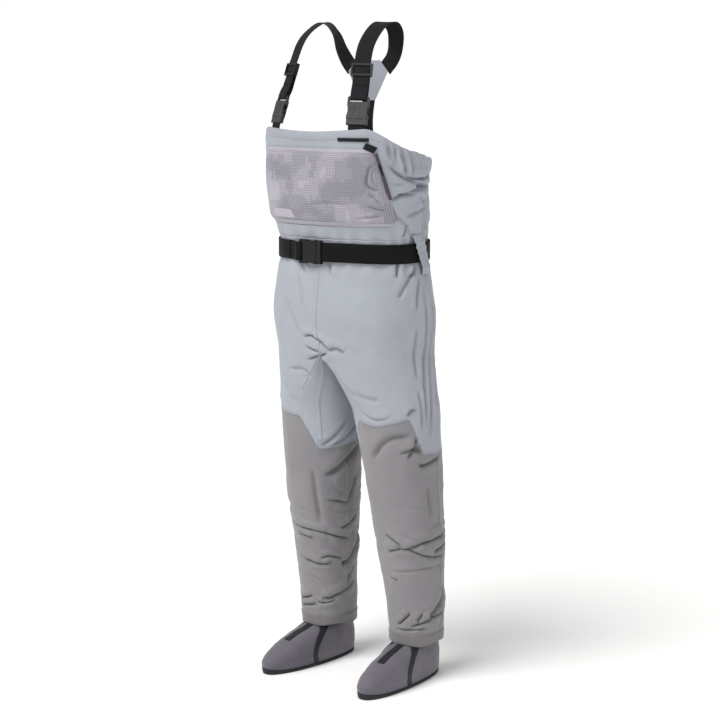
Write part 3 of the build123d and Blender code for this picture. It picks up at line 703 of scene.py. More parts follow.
def webbing_material(name, light, dark, roughness=0.62):
    """Black ribbed webbing: ribs across it, a lengthwise grain, a painted highlight on the rib crowns and
    painted shade in the grooves.
    """
    n = Nodes(name, roughness, Specular_IOR_Level=0.15)
    split = n.add("SeparateXYZ", Vector=n.cloth((math.pi / 0.0017, math.pi / 0.0022, 1.0)))
    across = n.maths("ABSOLUTE", n.maths("SINE", split.outputs[0]))
    ribs = n.maths("ABSOLUTE", n.maths("SINE", split.outputs[1]))
    height = n.maths("ADD", n.maths("MULTIPLY", across, 0.45), ribs)
    wear = n.noise(n.place(), 60.0, 4.0)
    # painted light and shade: the colour runs from dark in the grooves to light on the rib crowns, following
    # the ribs' height
    base = n.ramp(height, (0.35, dark), (1.0, light))
    n.colour(n.mix(n.maths("MULTIPLY", wear, 0.35), base, dark))
    n.rough(wear, roughness - 0.06, roughness + 0.12)
    return n.finish(n.bump(height, 0.00045, 0.8))


def plastic_material(name, light, dark, roughness=0.38):
    """Moulded plastic with a fine grain and faint scuffs."""
    n = Nodes(name, roughness, Specular_IOR_Level=0.3)
    broad = n.noise(n.place(), 50.0, 3.0)
    scuffs = n.noise(n.place((1.0, 6.0, 1.0)), 260.0, 5.0, 0.7)
    n.colour(n.ramp(n.mix(0.4, broad, scuffs), (0.35, dark), (0.65, light)))
    n.rough(scuffs, roughness - 0.08, roughness + 0.18)
    return n.finish(n.bump(n.noise(n.place(), 1400.0, 2.0), 0.00012, 0.5))


def neoprene_material(name, light, dark, roughness=0.72):
    """Knit-faced neoprene foam."""
    n = Nodes(name, roughness, Sheen_Weight=0.3, Sheen_Roughness=0.5)
    broad = n.noise(n.place(), 12.0, 3.0)
    fine = n.noise(n.place(), 650.0, 3.0, 0.6)
    base = n.ramp(broad, (0.35, dark), (0.65, light))
    n.colour(n.mix(0.22, base, n.ramp(fine, (0.35, dark), (0.7, light))))
    n.rough(fine, roughness - 0.06, roughness + 0.08)
    dents = n.bump(n.noise(n.place(), 55.0, 2.0), 0.0010, 0.25)
    knit = n.maths("ADD", n.weave(0.0011), fine)
    return n.finish(n.bump(knit, 0.00022, 0.6, dents))


def rubber_material(name, light, dark, roughness=0.6):
    n = Nodes(name, roughness)
    grain = n.noise(n.place(), 320.0, 4.0, 0.65)
    n.colour(n.ramp(grain, (0.3, dark), (0.7, light)))
    n.rough(grain, roughness - 0.08, roughness + 0.12)
    return n.finish(n.bump(grain, 0.00030, 0.7))


def mesh_material(name):
    """Pocket mesh: a grid of small holes over a blocky pattern of four plain greys."""
    n = Nodes(name, 0.7, Sheen_Weight=0.2)
    pitch = 0.0042
    cells = n.add("VectorMath", {"operation": "SNAP"}, **{"0": n.cloth(), "1": (pitch * 2,) * 3})
    blocks = n.noise(cells.outputs[0], 10.0, 2.5, 0.5)
    ramp = n.ramp(blocks, (0.0, srgb(140, 138, 148)), (0.44, srgb(150, 148, 158)),
                  (0.52, srgb(164, 161, 171)), (0.62, srgb(177, 174, 184)))
    for node in n.tree.nodes:
        if node.type == "VALTORGB":
            node.color_ramp.interpolation = "CONSTANT"
    x, y = n.threads(pitch)
    hole = n.maths("MULTIPLY", x, y)
    shade = n.ramp(hole, (0.42, (1, 1, 1, 1)), (0.72, srgb(176, 170, 184)))
    cloth = n.mix(0.85, ramp, shade, "MULTIPLY")
    n.colour(cloth)
    fine = n.noise(n.place(), 500.0, 2.0)
    n.rough(fine, 0.62, 0.8)
    threads = n.maths("SUBTRACT", 1.0, hole)
    return n.finish(n.bump(threads, 0.0007, 0.7, n.bump(fine, 0.0003, 0.4)))


LIGHT = cloth_material("light_shell_cloth", srgb(163, 167, 175), srgb(152, 156, 165), 0.0010, 0.62,
                       0.18, (0.95, 0.97, 1.0, 1.0))
DARK = cloth_material("reinforced_cloth", srgb(134, 132, 135), srgb(123, 121, 125), 0.0012, 0.66,
                      0.30, (1.0, 0.94, 0.87, 1.0))
HEM = cloth_material("hem_cloth", srgb(121, 118, 120), srgb(110, 108, 111), 0.0012, 0.66,
                     0.30, (1.0, 0.94, 0.87, 1.0))
THREAD = cloth_material("thread", srgb(150, 156, 168), srgb(135, 140, 152), 0.0006, 0.6,
                        0.1, (1.0, 1.0, 1.0, 1.0))
DARK_THREAD = cloth_material("dark_thread", srgb(120, 117, 118), srgb(105, 103, 104), 0.0006, 0.6,
                             0.1, (1.0, 1.0, 1.0, 1.0))
WEBBING = webbing_material("ribbed_webbing", srgb(34, 34, 38), srgb(10, 10, 13))
BELTING = webbing_material("belt_webbing", srgb(12, 12, 15), srgb(2, 2, 3))
PLASTIC = plastic_material("buckle_plastic", srgb(62, 62, 62), srgb(42, 42, 43))
DARK_PLASTIC = plastic_material("dark_plastic", srgb(20, 21, 18), srgb(8, 9, 7))
NEOPRENE = neoprene_material("bootie_neoprene", srgb(99, 94, 105), srgb(84, 80, 91))
TAPE = rubber_material("bonded_tape", srgb(24, 22, 32), srgb(9, 8, 14))
SOLE = rubber_material("sole_rubber", srgb(13, 12, 18), srgb(4, 4, 7), 0.55)
MESH = mesh_material("pocket_mesh")
ELASTIC = webbing_material("knit_elastic", srgb(34, 32, 40), srgb(10, 9, 14), 0.7)
BAND = cloth_material("pocket_band", srgb(172, 170, 178), srgb(158, 156, 166), 0.0009, 0.6, 0.1,
                      srgb(180, 180, 190))
PATCH = rubber_material("blank_patch_film", srgb(176, 172, 182), srgb(160, 156, 168), 0.5)
TEETH = rubber_material("zip_teeth", srgb(96, 84, 108), srgb(66, 56, 78), 0.4)
ZIP = rubber_material("zip_tape", srgb(74, 62, 84), srgb(48, 40, 58), 0.55)


# ---- garment panels -----------------------------------------------------------------------
FRONT = even_angles("trunk", 0.95, -90, SIDE_SEAM, TRUNK_STEP)
BACK = even_angles("trunk", 0.95, SIDE_SEAM, 90, TRUNK_STEP)


def inner_columns(first, last):
    return even_angles("left", 0.5, first, last, LEG_STEP)


def chain(*runs):
    """Runs of angles that meet end to end, as one run."""
    return np.concatenate([runs[0]] + [run[1:] for run in runs[1:]])


def knee_height(side, angle):
    """Top edge of the dark panel, with its corners slightly rounded."""
    a, z = np.array(KNEE[side]).T
    turned = (np.asarray(angle, float) + 180) % 360 - 180
    return np.mean([np.interp(turned + d, a, z, period=360) for d in (-2.5, -1, 0, 1, 2.5)], axis=0)


def cloth_uv(angle, z):
    """Metres of cloth round the body and up it, near enough for a weave."""
    return np.stack([np.radians(angle) * 0.155, z], -1)


def panel(name, place, angles, low, high, step, material):
    """A garment panel between two heights, each a number or one number for each angle."""
    low, high = (np.broadcast_to(np.asarray(edge, float), angles.shape) for edge in (low, high))
    rows = max(3, round(float((high - low).max()) / step) + 1)
    share = np.linspace(0, 1, rows)[:, None]
    z = low + (high - low) * share
    angle = np.broadcast_to(angles, z.shape)
    return surface_piece(name, skin(place, angle, z), cloth_uv(angle, z), material,
                         flip=place == "right")


def folded_edge(place, angles, heights, wrap):
    """A closed band that follows an edge: heights gives, for each angle, its (z, outwards) loop."""
    loop = np.array([heights(a) for a in angles])
    angle = np.broadcast_to(angles[:, None], loop.shape[:2])
    points = skin(place, angle, loop[..., 0])
    outwards = form_normals(plain_form, place, angle, loop[..., 0])
    points = points + outwards * loop[..., 1:]
    uv = cloth_uv(angle, loop[..., 0] + loop[..., 1])
    count = loop.shape[1]
    faces = []
    for r in range(len(angles) - (0 if wrap else 1)):
        low, high = r * count, (r + 1) % len(angles) * count
        for c in range(count):
            d = (c + 1) % count
            faces.append((low + c, high + c, high + d, low + d))
    if not wrap:
        last = (len(angles) - 1) * count
        faces += [tuple(range(count)), tuple(last + i for i in range(count))[::-1]]
    if place == "right":
        faces = [face[::-1] for face in faces]
    return points, faces, uv, 0


def rim_loop(angle):
    top = float(rim_height(angle))
    return ((top - 0.021, 0.0001), (top - 0.0200, 0.0009), (top - 0.010, 0.0010), (top - 0.001, 0.0010),
            (top + 0.0006, 0.0002), (top + 0.0008, -0.0010), (top - 0.0004, -0.0024),
            (top - 0.010, -0.0027), (top - 0.022, -0.0027), (top - 0.022, -0.0010))


def hem_loop(angle):
    turn = math.radians(angle)
    wave = 0.0022 * math.sin(2 * turn + 0.5) + 0.0016 * math.sin(5 * turn + 2.0)
    low = HEM_Z - 0.002 + wave
    top = HEM_SEAM_Z + 0.0015
    return ((top, 0.0001), (top - 0.0010, 0.0012), (top - 0.007, 0.0014), (top - 0.014, 0.0013),
            (low + 0.006, 0.0013), (low + 0.0010, 0.0011), (low, 0.0), (low + 0.0006, -0.0014),
            (low + 0.004, -0.0024), (top - 0.010, -0.0024), (top, -0.0022), (top, -0.0010))


def welded(name, pieces, material):
    """One sheet from several whose edges meet point for point."""
    shell = bmesh.new()
    for piece in pieces:
        shell.from_mesh(piece.data)
        bpy.data.objects.remove(piece)
    bmesh.ops.remove_doubles(shell, verts=shell.verts, dist=0.00003)
    mesh = bpy.data.meshes.new(name)
    shell.to_mesh(mesh)
    shell.free()
    mesh.materials.clear()
    mesh.materials.append(material)
    piece = bpy.data.objects.new(name, mesh)
    bpy.context.scene.collection.objects.link(piece)
    wall = piece.modifiers.new("wall", "SOLIDIFY")
    wall.thickness = CLOTH
    wall.offset = -1
    return piece


def make_bib():
    seams = {"bib_front": (chain(-180 - FRONT[::-1], FRONT), "bib_front"),
             "bib_back": (chain(BACK, 180 - BACK[::-1]), "bib_back")}
    for name, (angles, node) in seams.items():
        piece = panel(f"{name}_cloth", "trunk", angles, TRUNK_SEAM_Z, rim_height(angles) - 0.002,
                      TRUNK_STEP, LIGHT)
        ride_as(piece, "garment", "light_fabric", node)
        edge = joined(f"{name}_top_edge", [folded_edge("trunk", angles, rim_loop, False)], [LIGHT])
        ride_as(edge, "garment", "light_fabric")


def make_seat_and_thighs(side):
    """The light cloth of one side from the belt seam down to the dark panel."""
    sheets = []
    for angles in (FRONT, BACK):
        trunk_angles = angles if side == "left" else 180 - angles[::-1]
        sheets.append(panel("seat", "trunk", trunk_angles, CROTCH_Z, TRUNK_SEAM_Z, TRUNK_STEP, LIGHT))
    inner_front, inner_back = inner_columns(-GUSSET_SEAM, -90), inner_columns(90, GUSSET_SEAM)
    around = chain(inner_front, FRONT, BACK, inner_back)
    sheets.append(panel("thigh", side, around, knee_height(side, around), CROTCH_Z, LEG_STEP, LIGHT))
    piece = welded(f"seat_and_upper_leg_{side}_cloth", sheets, LIGHT)
    ride_as(piece, "garment", "light_fabric", f"seat_front_{side}", f"seat_back_{side}",
            f"upper_leg_{side}")


def ride_as(piece, body, slot, *nodes):
    """The piece rides on a body and stands in for CAD nodes, which are hidden. slot is not used."""
    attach(piece, body)
    if nodes:
        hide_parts(*nodes)
    return piece


def make_legs():
    inner_front = inner_columns(-GUSSET_SEAM, -90)
    under_front = inner_columns(-172, -GUSSET_SEAM)
    inner_back = inner_columns(90, GUSSET_SEAM)
    under_back = inner_columns(GUSSET_SEAM, 188)
    for side in SIDES:
        make_seat_and_thighs(side)
        gusset = chain(under_back, under_front + 360)
        piece = panel(f"crotch_gusset_{side}_cloth", side, gusset, knee_height(side, gusset), CROTCH_Z,
                      LEG_STEP, LIGHT)
        ride_as(piece, "garment", "light_fabric", "crotch_gusset")
        for name, angles in (("front", chain(under_front, inner_front, FRONT)),
                             ("back", chain(BACK, inner_back, under_back))):
            piece = panel(f"lower_leg_{name}_{side}_cloth", side, angles, HEM_SEAM_Z,
                          knee_height(side, angles), LEG_STEP, DARK)
            ride_as(piece, "garment", "dark_fabric", f"lower_leg_{name}_{side}")
        around = chain(under_front, inner_front, FRONT, BACK, inner_back, under_back)[:-1]
        piece = joined(f"hem_{side}", [folded_edge(side, around, hem_loop, True)], [HEM])
        ride_as(piece, "garment", "hem_fabric", f"cuff_hem_{side}")


def edge_points(side, first, last, drop=0.0, count=60):
    """Points along the top edge of the dark panel."""
    angles = np.linspace(first, last, count)
    return [(a, float(h) - drop) for a, h in zip(angles, knee_height(side, angles))]


def make_seams():
    light, dark = [], []
    fly = ((-90, 1.055), (-90, 0.96), (-90, 0.88), (-89, 0.834))
    light.append(seam_tape("trunk", fly))
    light.append(stitches("trunk", fly, side=0.0028))
    light.append(seam_tape("trunk", ((90, 1.10), (90, 0.96), (90, 0.834))))
    for angle in (SIDE_SEAM, 180 - SIDE_SEAM):
        path = ((angle, 1.30), (angle, 1.16), (angle, 1.0), (angle, 0.84))
        light.append(seam_tape("trunk", path))
        light.append(stitches("trunk", path, side=0.0026))
        light.append(stitches("trunk", path, side=-0.0026))
    for side in SIDES:
        for angle in (-GUSSET_SEAM, GUSSET_SEAM):
            path = ((angle * 0.94, 0.822), (angle, 0.78), (angle, 0.70), (angle * 1.02, 0.600))
            light.append(seam_tape(side, path, 0.010))
            light.append(stitches(side, path, side=0.0034))
            light.append(stitches(side, path, side=-0.0034))
        top = edge_points(side, -180, 180, -0.0035, 160)
        light.append(stitches(side, top, tag=2, proud=0.0004))
        light.append(stitches(side, [(a, z + 0.004) for a, z in top], tag=2, proud=0.0004))
        dark.append(seam_tape(side, edge_points(side, -180, 180, 0.0, 160), 0.0035, 0.0))
        for angle in (SIDE_SEAM, 188):
            path = ((angle, 0.57), (angle, 0.40), (angle, 0.26), (angle, 0.13))
            dark.append(seam_tape(side, path, 0.007))
            dark.append(stitches(side, path, side=0.0022))
        hem = [(a, HEM_SEAM_Z - 0.003) for a in np.linspace(-180, 180, 60)]
        dark.append(stitches(side, hem, pitch=0.0048, proud=0.0014))
    ride_as(joined("light_seams", light, [LIGHT, LIGHT, THREAD]), "garment", "light_fabric")
    ride_as(joined("dark_seams", dark, [DARK, DARK, DARK_THREAD]), "garment", "dark_fabric")


def make_rim_elastic():
    angles = np.linspace(-12, 192, 260)
    drop = np.array([0.004, 0.004, 0.019, 0.019])
    z = rim_height(angles)[:, None] - drop
    angle = np.broadcast_to(angles[:, None], z.shape)
    out = np.array([-0.0030, -0.0044, -0.0044, -0.0030])
    points = skin("trunk", angle, z) + form_normals(plain_form, "trunk", angle, z) * out[:, None]
    faces = [(r * 4 + c, r * 4 + (c + 1) % 4, r * 4 + 4 + (c + 1) % 4, r * 4 + 4 + c)
             for r in range(len(angles) - 1) for c in range(4)]
    last = (len(angles) - 1) * 4
    faces += [(3, 2, 1, 0), (last, last + 1, last + 2, last + 3)]
    piece = joined("rim_elastic_band", [(points, faces, cloth_uv(angle, z), 0)], [ELASTIC])
    ride_as(piece, "garment", "elastic", "rim_elastic")


make_bib()
make_legs()
make_seams()
make_rim_elastic()


# ---- pocket and chest trim ----------------------------------------------------------------
POCKET_LOW = 1.144
POCKET_TOP = 1.328
POCKET_EDGE = ((1.144, 0.176), (1.166, 0.191), (1.262, 0.174), (1.328, 0.160))
POCKET_DEEP = 0.0080
# creases in the pocket's mesh: depth and width in millimetres, then angle and height
POCKET_CREASES = (
    (4.5, 9, ((-40, 1.292), (-46, 1.286), (-49, 1.268), (-49.5, 1.245), (-43, 1.235), (-38, 1.238))),
    (3.0, 7, ((-42, 1.285), (-44.5, 1.272), (-44, 1.255), (-41, 1.245))),
    (2.5, 6, ((-40, 1.275), (-41.5, 1.262), (-40, 1.250))),
    (3.5, 9, ((-49, 1.228), (-43.5, 1.212), (-38, 1.200))),
    (3.5, 9, ((-51.5, 1.197), (-42, 1.190), (-33, 1.186))),
    (3.0, 8, ((-60, 1.167), (-48, 1.170), (-36, 1.176))),
    (2.5, 10, ((-128, 1.300), (-120, 1.270), (-122, 1.235))),
    (2.0, 12, ((-96, 1.190), (-80, 1.200), (-66, 1.195))),
)
POCKET_PATHS = crease_paths([("trunk", depth, width, 0.2, points)
                             for depth, width, points in POCKET_CREASES])
ZIP_TOP = (-41.0, 1.316)
ZIP_LOW = (-31.5, 1.214)
ZIP_OUT = 0.013


def front_angle(x, z):
    """Place round the trunk of the point on its front that is x across."""
    rows = smooth_rows(TRUNK, z)
    share = np.clip(np.abs(x) / rows[..., 0], 0, 0.999)
    turn = np.degrees(np.arccos(share ** (rows[..., 4] / 2)))
    return np.where(x > 0, -turn, turn - 180)


def bib_surface(x, z, proud=0.0):
    angle = front_angle(x, z)
    return skin("trunk", angle, z) + form_normals(plain_form, "trunk", angle, z) * proud


def pocket_surface(x, z, proud=0.0):
    """The pocket's outer face, which comes down to the bib round its edge."""
    angle = front_angle(x, z)
    base = plain_form("trunk", angle, z)
    normals = form_normals(plain_form, "trunk", angle, z)
    edge = np.interp(z, *np.array(POCKET_EDGE).T)
    inset = np.minimum(edge - np.abs(x), np.minimum(z - POCKET_LOW, POCKET_TOP - z))
    share = np.clip(inset / 0.020, 0, 1)
    share = (share * share * (3 - 2 * share))[..., None]
    pressed = press_creases(base.reshape(-1, 3), normals.reshape(-1, 3), POCKET_PATHS)
    slack = 0.0010 * value_noise(base * np.array([28, 28, 20]), 11)
    full = pressed.reshape(base.shape) + normals * (POCKET_DEEP + slack)[..., None]
    return skin("trunk", angle, z) * (1 - share) + full * share + normals * (0.0012 + proud)


def trim(name, surface, corners, proud, material, slot, node=None, cells=(40, 8)):
    """A thin trim on a surface: corners run anticlockwise from the lower left."""
    a, b, c, d = np.array(corners, float)
    u = np.linspace(0, 1, cells[0])[None, :, None]
    v = np.linspace(0, 1, cells[1])[:, None, None]
    flat = (a * (1 - u) + b * u) * (1 - v) + (d * (1 - u) + c * u) * v
    points = surface(flat[..., 0], flat[..., 1], proud)
    piece = surface_piece(name, points, flat, material, thick=0.0012)
    return ride_as(piece, "garment", slot, *([node] if node else []))


def make_pocket():
    rows, columns = 110, 190
    z = np.linspace(POCKET_LOW, POCKET_TOP, rows)[:, None] * np.ones(columns)
    x = np.linspace(-1, 1, columns) * np.interp(z, *np.array(POCKET_EDGE).T)
    piece = surface_piece("chest_pocket_mesh", pocket_surface(x, z), np.stack([x, z], -1), MESH)
    ride_as(piece, "garment", "mesh_fabric", "chest_pocket")
    trim("pocket_bottom_band_cloth", pocket_surface,
         ((-0.178, 1.146), (0.178, 1.146), (0.184, 1.1555), (-0.184, 1.1555)), 0.0008, BAND,
         "mesh_fabric", "pocket_bottom_band", (160, 6))
    trim("pocket_hem", pocket_surface, ((-0.161, 1.320), (0.161, 1.320), (0.160, 1.329), (-0.160, 1.329)),
         0.0008, BAND, "mesh_fabric", None, (140, 5))
    trim("pocket_blank_patch_film", pocket_surface,
         ((-0.134, 1.160), (-0.052, 1.160), (-0.066, 1.182), (-0.134, 1.182)), 0.0009, PATCH,
         "mesh_fabric", "pocket_blank_patch")
    trim("tool_strip_webbing", bib_surface,
         ((0.081, 1.3455), (0.155, 1.3455), (0.155, 1.3535), (0.081, 1.3535)), 0.0026, WEBBING,
         "webbing", "tool_strip")
    corner = np.array((0.157, 1.331))
    along, up = np.array((0.883, -0.469)), np.array((0.469, 0.883))
    tab = [corner + along * x * 0.012 + up * y * 0.0075 for x, y in ((-1, -1), (1, -1), (1, 1), (-1, 1))]
    trim("pocket_corner_tab_webbing", pocket_surface, tab, 0.0030, WEBBING, "webbing",
         "pocket_corner_tab", (16, 10))


def make_zip():
    top, low = trunk_section(*ZIP_TOP, ZIP_OUT), trunk_section(*ZIP_LOW, ZIP_OUT)
    run = unit(top - low)
    middle = (top + low) / 2
    ahead = trunk_section(-34.0, middle[2]) - trunk_section(-38.0, middle[2])
    across = unit(ahead - run * (ahead @ run))
    outwards = np.cross(across, run)
    path = low + (top - low) * np.linspace(0, 1, 50)[:, None]
    path = path + run * np.interp(np.linspace(0, 1, 50), (0, 1), (-0.003, 0.003))[:, None]
    sides = [np.tile(v, (50, 1)) for v in (across, outwards)]
    parts = [swept(path, *sides, webbing_profile(0.0085, 0.0013, 3))]
    for offset, shift in ((0.0011, 0.0), (-0.0011, 0.5)):
        pitch = 0.0024
        count = int(np.linalg.norm(top - low) / pitch)
        steps = (np.arange(count) + shift)[:, None] * pitch
        teeth = low + run * steps + across * offset + outwards * 0.0008
        parts.append(box_row(teeth, across, outwards, run, (0.0026, 0.0018, 0.0013), 1))
    ride_as(joined("pocket_zip_tape_and_teeth", parts, [ZIP, TEETH]), "garment", "zip", "pocket_zip")


def box_row(places, across, outwards, run, size, tag):
    """Small blocks at each place."""
    points, faces, uv = [], [], []
    corners = [(x, y, z) for z in (-0.5, 0.5) for y in (-0.5, 0.5) for x in (-0.5, 0.5)]
    for place in places:
        start = len(points)
        points += [place + across * x * size[0] + outwards * y * size[1] + run * z * size[2]
                   for x, y, z in corners]
        faces += [tuple(start + i for i in face) for face in
                  ((0, 1, 3, 2), (4, 6, 7, 5), (0, 4, 5, 1), (2, 3, 7, 6), (0, 2, 6, 4), (1, 5, 7, 3))]
        uv += [(0, 0)] * 8
    return points, faces, uv, tag


# ---- shoulder straps ----------------------------------------------------------------------
STRAP_FOOT = np.array((0.118, -0.128, 1.413))
STRAP_RUN = unit(np.array((-0.1077, 0.2938, 0.9499)))
STRAP_ACROSS = np.array((0.9085, 0.4179, 0.0))
STRAP_WIDE = 0.040
STRAP_THICK = 0.0024
PLY_THICK = 0.0018         # webbing where it folds round a bar
MOUTH_AT = -0.017          # the buckle's mouth and the slider, along the strap from its foot
SLIDER_AT = 0.102
# over-the-shoulder stretch of the left strap: place, then the direction across the webbing
ARCH = (
    ((0.102, -0.074, 1.567), (0.90, 0.43, 0.0)),
    ((0.099, -0.042, 1.600), (0.89, 0.46, 0.0)),
    ((0.096, -0.004, 1.619), (0.87, 0.49, 0.0)),
    ((0.094, 0.030, 1.618), (0.87, 0.48, 0.0)),
    ((0.091, 0.054, 1.596), (0.88, 0.40, -0.10)),
    ((0.083, 0.064, 1.562), (0.90, 0.20, -0.35)),
    ((0.070, 0.0675, 1.534), (0.80, 0.05, -0.60)),
    ((0.050, 0.0675, 1.512), (0.72, 0.0, -0.69)),
)
LOOP_ROUTE = ((0, 80.7), (-3.4, 68), (-4.9, 57), (-4.9, 50.5), (-3.9, 46.7), (0, 45.1), (3.9, 46.7),
              (4.9, 50.5), (5.3, 57), (7.6, 72), (7.7, 104.7))
FOLD_ROUTE = ((2.9, -7), (2.9, 2.6), (3.6, 4.6), (5.3, 5.2), (7.0, 4.6), (7.7, 2.6), (7.7, -14))
TAB_ROUTE = ((0, -6), (0, -18), (2.4, -30), (6.9, -40), (12.5, -52))
ELASTIC_ROUTE = ((66.8, 1462), (66.2, 1436), (60, 1402), (59, 1370), (67, 1330), (81, 1302), (101.3, 1260))
YOKE = ((-60, 1506), (-36, 1532), (36, 1532), (60, 1506), (21, 1436), (-21, 1436))


def strap_frame(side, along):
    """Origin and X, Y, Z directions on the strap's straight stretch: Z up it, Y inwards."""
    run = STRAP_RUN * (SIDES[side], 1, 1)
    across = STRAP_ACROSS * (1, SIDES[side], 1)
    across = unit(across - run * (across @ run))
    return STRAP_FOOT * (SIDES[side], 1, 1) + run * along, across, np.cross(run, across), run


def ribbon(name, frame_at, route, thick):
    """Strap webbing whose middle follows (y, z) millimetres in a frame."""
    origin, across, inwards, run = frame_at
    dense = smooth_path(route, 60) / 1000
    path = origin + inwards * dense[:, :1] + run * dense[:, 1:]
    return webbing(name, path, across, STRAP_WIDE, thick, WEBBING)


def make_strap(side):
    flip = np.array((SIDES[side], 1, 1))
    places = [strap_frame("left", along)[0] for along in (0.064, 0.092, 0.122)]
    acrosses = [strap_frame("left", 0)[1]] * 3
    places += [np.array(place) for place, _ in ARCH]
    acrosses += [unit(np.array(across)) for _, across in ARCH]
    path = smooth_path(places, 150) * flip
    across = smooth_path(acrosses, 150) * flip * SIDES[side]
    wide, outwards = frames_along(path, across)
    steps = np.arange(150)[:, None]
    path = path + outwards * 0.0006 * np.sin(steps * 0.23 + SIDES[side])
    strap = joined(f"shoulder_webbing_{side}",
                   [swept(path, wide, outwards, webbing_profile(STRAP_WIDE, STRAP_THICK))], [WEBBING])
    ride_as(strap, "garment", "webbing", f"shoulder_strap_{side}")
    mouth = strap_frame(side, MOUTH_AT)
    tab = ribbon(f"shoulder_tab_webbing_{side}", mouth, TAB_ROUTE, STRAP_THICK)
    ride_as(tab, "garment", "webbing", f"shoulder_tab_{side}")
    loop = ribbon(f"strap_loop_webbing_{side}", mouth, LOOP_ROUTE, PLY_THICK)
    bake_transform(loop)
    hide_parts(f"strap_loop_{side}")
    fold = ribbon(f"slider_fold_webbing_{side}", strap_frame(side, SLIDER_AT), FOLD_ROUTE, PLY_THICK)
    ride_as(fold, f"strap_slider_{side}", "webbing", f"slider_fold_{side}")


def make_yoke():
    path = smooth_path([(0, y, z) for y, z in ELASTIC_ROUTE], 90) / 1000
    band = webbing("back_elastic_band", path, (1.0, 0.0, 0.0), 0.038, 0.0022, ELASTIC)
    ride_as(band, "garment", "elastic", "back_elastic")
    rows = []
    for inset in (0.93, 0.86):
        corners = [np.array(((x * inset), 1490 + (z - 1490) * inset)) for x, z in YOKE]
        for a, b in zip(corners, corners[1:] + corners[:1]):
            count = max(2, round(np.linalg.norm(b - a) / 4.2))
            flat = a + (b - a) * (np.arange(count)[:, None] + 0.5) / count
            row = np.stack([flat[:, 0], np.full(count, 65.2), flat[:, 1]], -1) / 1000
            wide, _ = frames_along(row, (0.3, 0.0, 0.7))
            outwards = np.tile((0.0, 1.0, 0.0), (count, 1))
            rows.append(stitch_row(row, wide, outwards, 0.0042, 0))
    ride_as(joined("yoke_stitches", rows, [THREAD]), "garment", "light_fabric")


# ---- belt ---------------------------------------------------------------------------------
BELT_OUT = 0.0066
BELT_Y = -0.137
BELT_MOUTH_X = 0.002
BELT_WIDE = 0.046
BELT_BEND = ((81, 11.5), (69, 2.5), (62, -3.2), (55.5, -4.9), (50.5, -4.9), (46.7, -3.9), (45.1, 0),
             (46.7, 3.9), (50.5, 4.9), (55, 5.1))


def make_belt():
    places = [(x, BELT_Y, BELT_Z) for x in (0.0075, 0.017, 0.028)]
    places += [tuple(trunk_section(angle, BELT_Z, BELT_OUT)) for angle in range(-68, 246, 12)]
    path = smooth_path(places, 420)
    upright = np.tile((0.0, 0.0, 1.0), (len(path), 1))
    wide, outwards = frames_along(path, upright)
    steps = np.arange(len(path))[:, None]
    path = path + upright * 0.0012 * np.sin(steps * 0.045) + outwards * 0.0005 * np.sin(steps * 0.11)
    belt = joined("belt_band", [swept(path, wide, outwards, webbing_profile(BELT_WIDE, 0.0024))], [BELTING])
    ride_as(belt, "garment", "webbing", "belt_webbing")
    start = trunk_section(244, BELT_Z, BELT_OUT)
    end = [(start[0] + 0.001, start[1], BELT_Z)]
    end += [(BELT_MOUTH_X - z / 1000, BELT_Y + y / 1000, BELT_Z) for z, y in BELT_BEND]
    path = smooth_path(end, 70)
    loop = webbing("belt_end_webbing", path, (0.0, 0.0, 1.0), BELT_WIDE, 0.0019, BELTING)
    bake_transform(loop)
    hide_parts("belt_end_loop")


def make_belt_keeper(side):
    """The cloth loop on the side seam that holds the belt. It slants back on its way down."""
    share = np.linspace(0, 1, 60)
    z = 1.124 - 0.096 * share
    angle = -2 + 8 * share
    bulge = np.clip(6 * share * (1 - share), 0, 1) ** 0.6
    out = 0.0015 + 0.0105 * bulge + 0.0004 * np.sin(share * 40) * bulge
    path = trunk_section(angle, z, out)
    wide, outwards = frames_along(path, trunk_section(angle + 1, z, out) - path)
    flip = (SIDES[side], 1, 1)
    strip = swept(path * flip, wide * flip, outwards * flip, webbing_profile(0.034, 0.0020))
    keeper = joined(f"belt_loop_cloth_{side}", [strip], [LIGHT])
    ride_as(keeper, "garment", "light_fabric", f"belt_loop_{side}")


# ---- booties ------------------------------------------------------------------------------
# middle line of each side tape: y along the foot, height
FOOT_TAPE = ((0.046, 0.112), (0.030, 0.096), (0.006, 0.074), (-0.014, 0.050), (-0.018, 0.028),
             (-0.010, 0.010))


def foot_point(side, turn, z, out=0.0):
    """A point of the bootie's outside. turn is in radians, a quarter turn at the toe."""
    turn, z = np.broadcast_arrays(np.asarray(turn, float), np.asarray(z, float))
    toe, heel, half = np.moveaxis(smooth_rows(FOOT, z), -1, 0)
    middle, length = (toe + heel) / 2, (heel - toe) / 2
    taper = 1 + 0.10 * np.minimum(0, -np.sin(turn))
    x = (half * taper + out) * power(np.cos(turn), 2.4)
    y = middle - (length + out) * power(np.sin(turn), 2.4) - ANKLE_Y
    c, s = math.cos(math.radians(TOE_OUT[side])), math.sin(math.radians(TOE_OUT[side]))
    return np.stack([SIDES[side] * FOOT_X + x * c - y * s, ANKLE_Y + x * s + y * c, z], -1)


def foot_normals(side, turn, z):
    across = foot_point(side, turn - 0.01, z) - foot_point(side, turn + 0.01, z)
    along = foot_point(side, turn, z + 0.002) - foot_point(side, turn, z - 0.002)
    return unit(np.cross(across, along))


def foot_skin(side, turn, z, proud=0.0):
    """The bootie's soft surface."""
    points = foot_point(side, turn, z)
    soft = 0.0012 * value_noise(points * 30, 21) + 0.0005 * value_noise(points * 85, 22)
    rise = np.clip((z - 0.016) / 0.02, 0, 1)
    return points + foot_normals(side, turn, z) * (soft * rise + proud)[..., None]


def turn_at_x(x, z):
    """Where on the front of the foot a point is x from its middle line."""
    half = smooth_rows(FOOT, z)[..., 2] * 0.9
    return np.arccos(np.sign(x) * np.clip(np.abs(x) / half, 0, 1) ** 1.2)


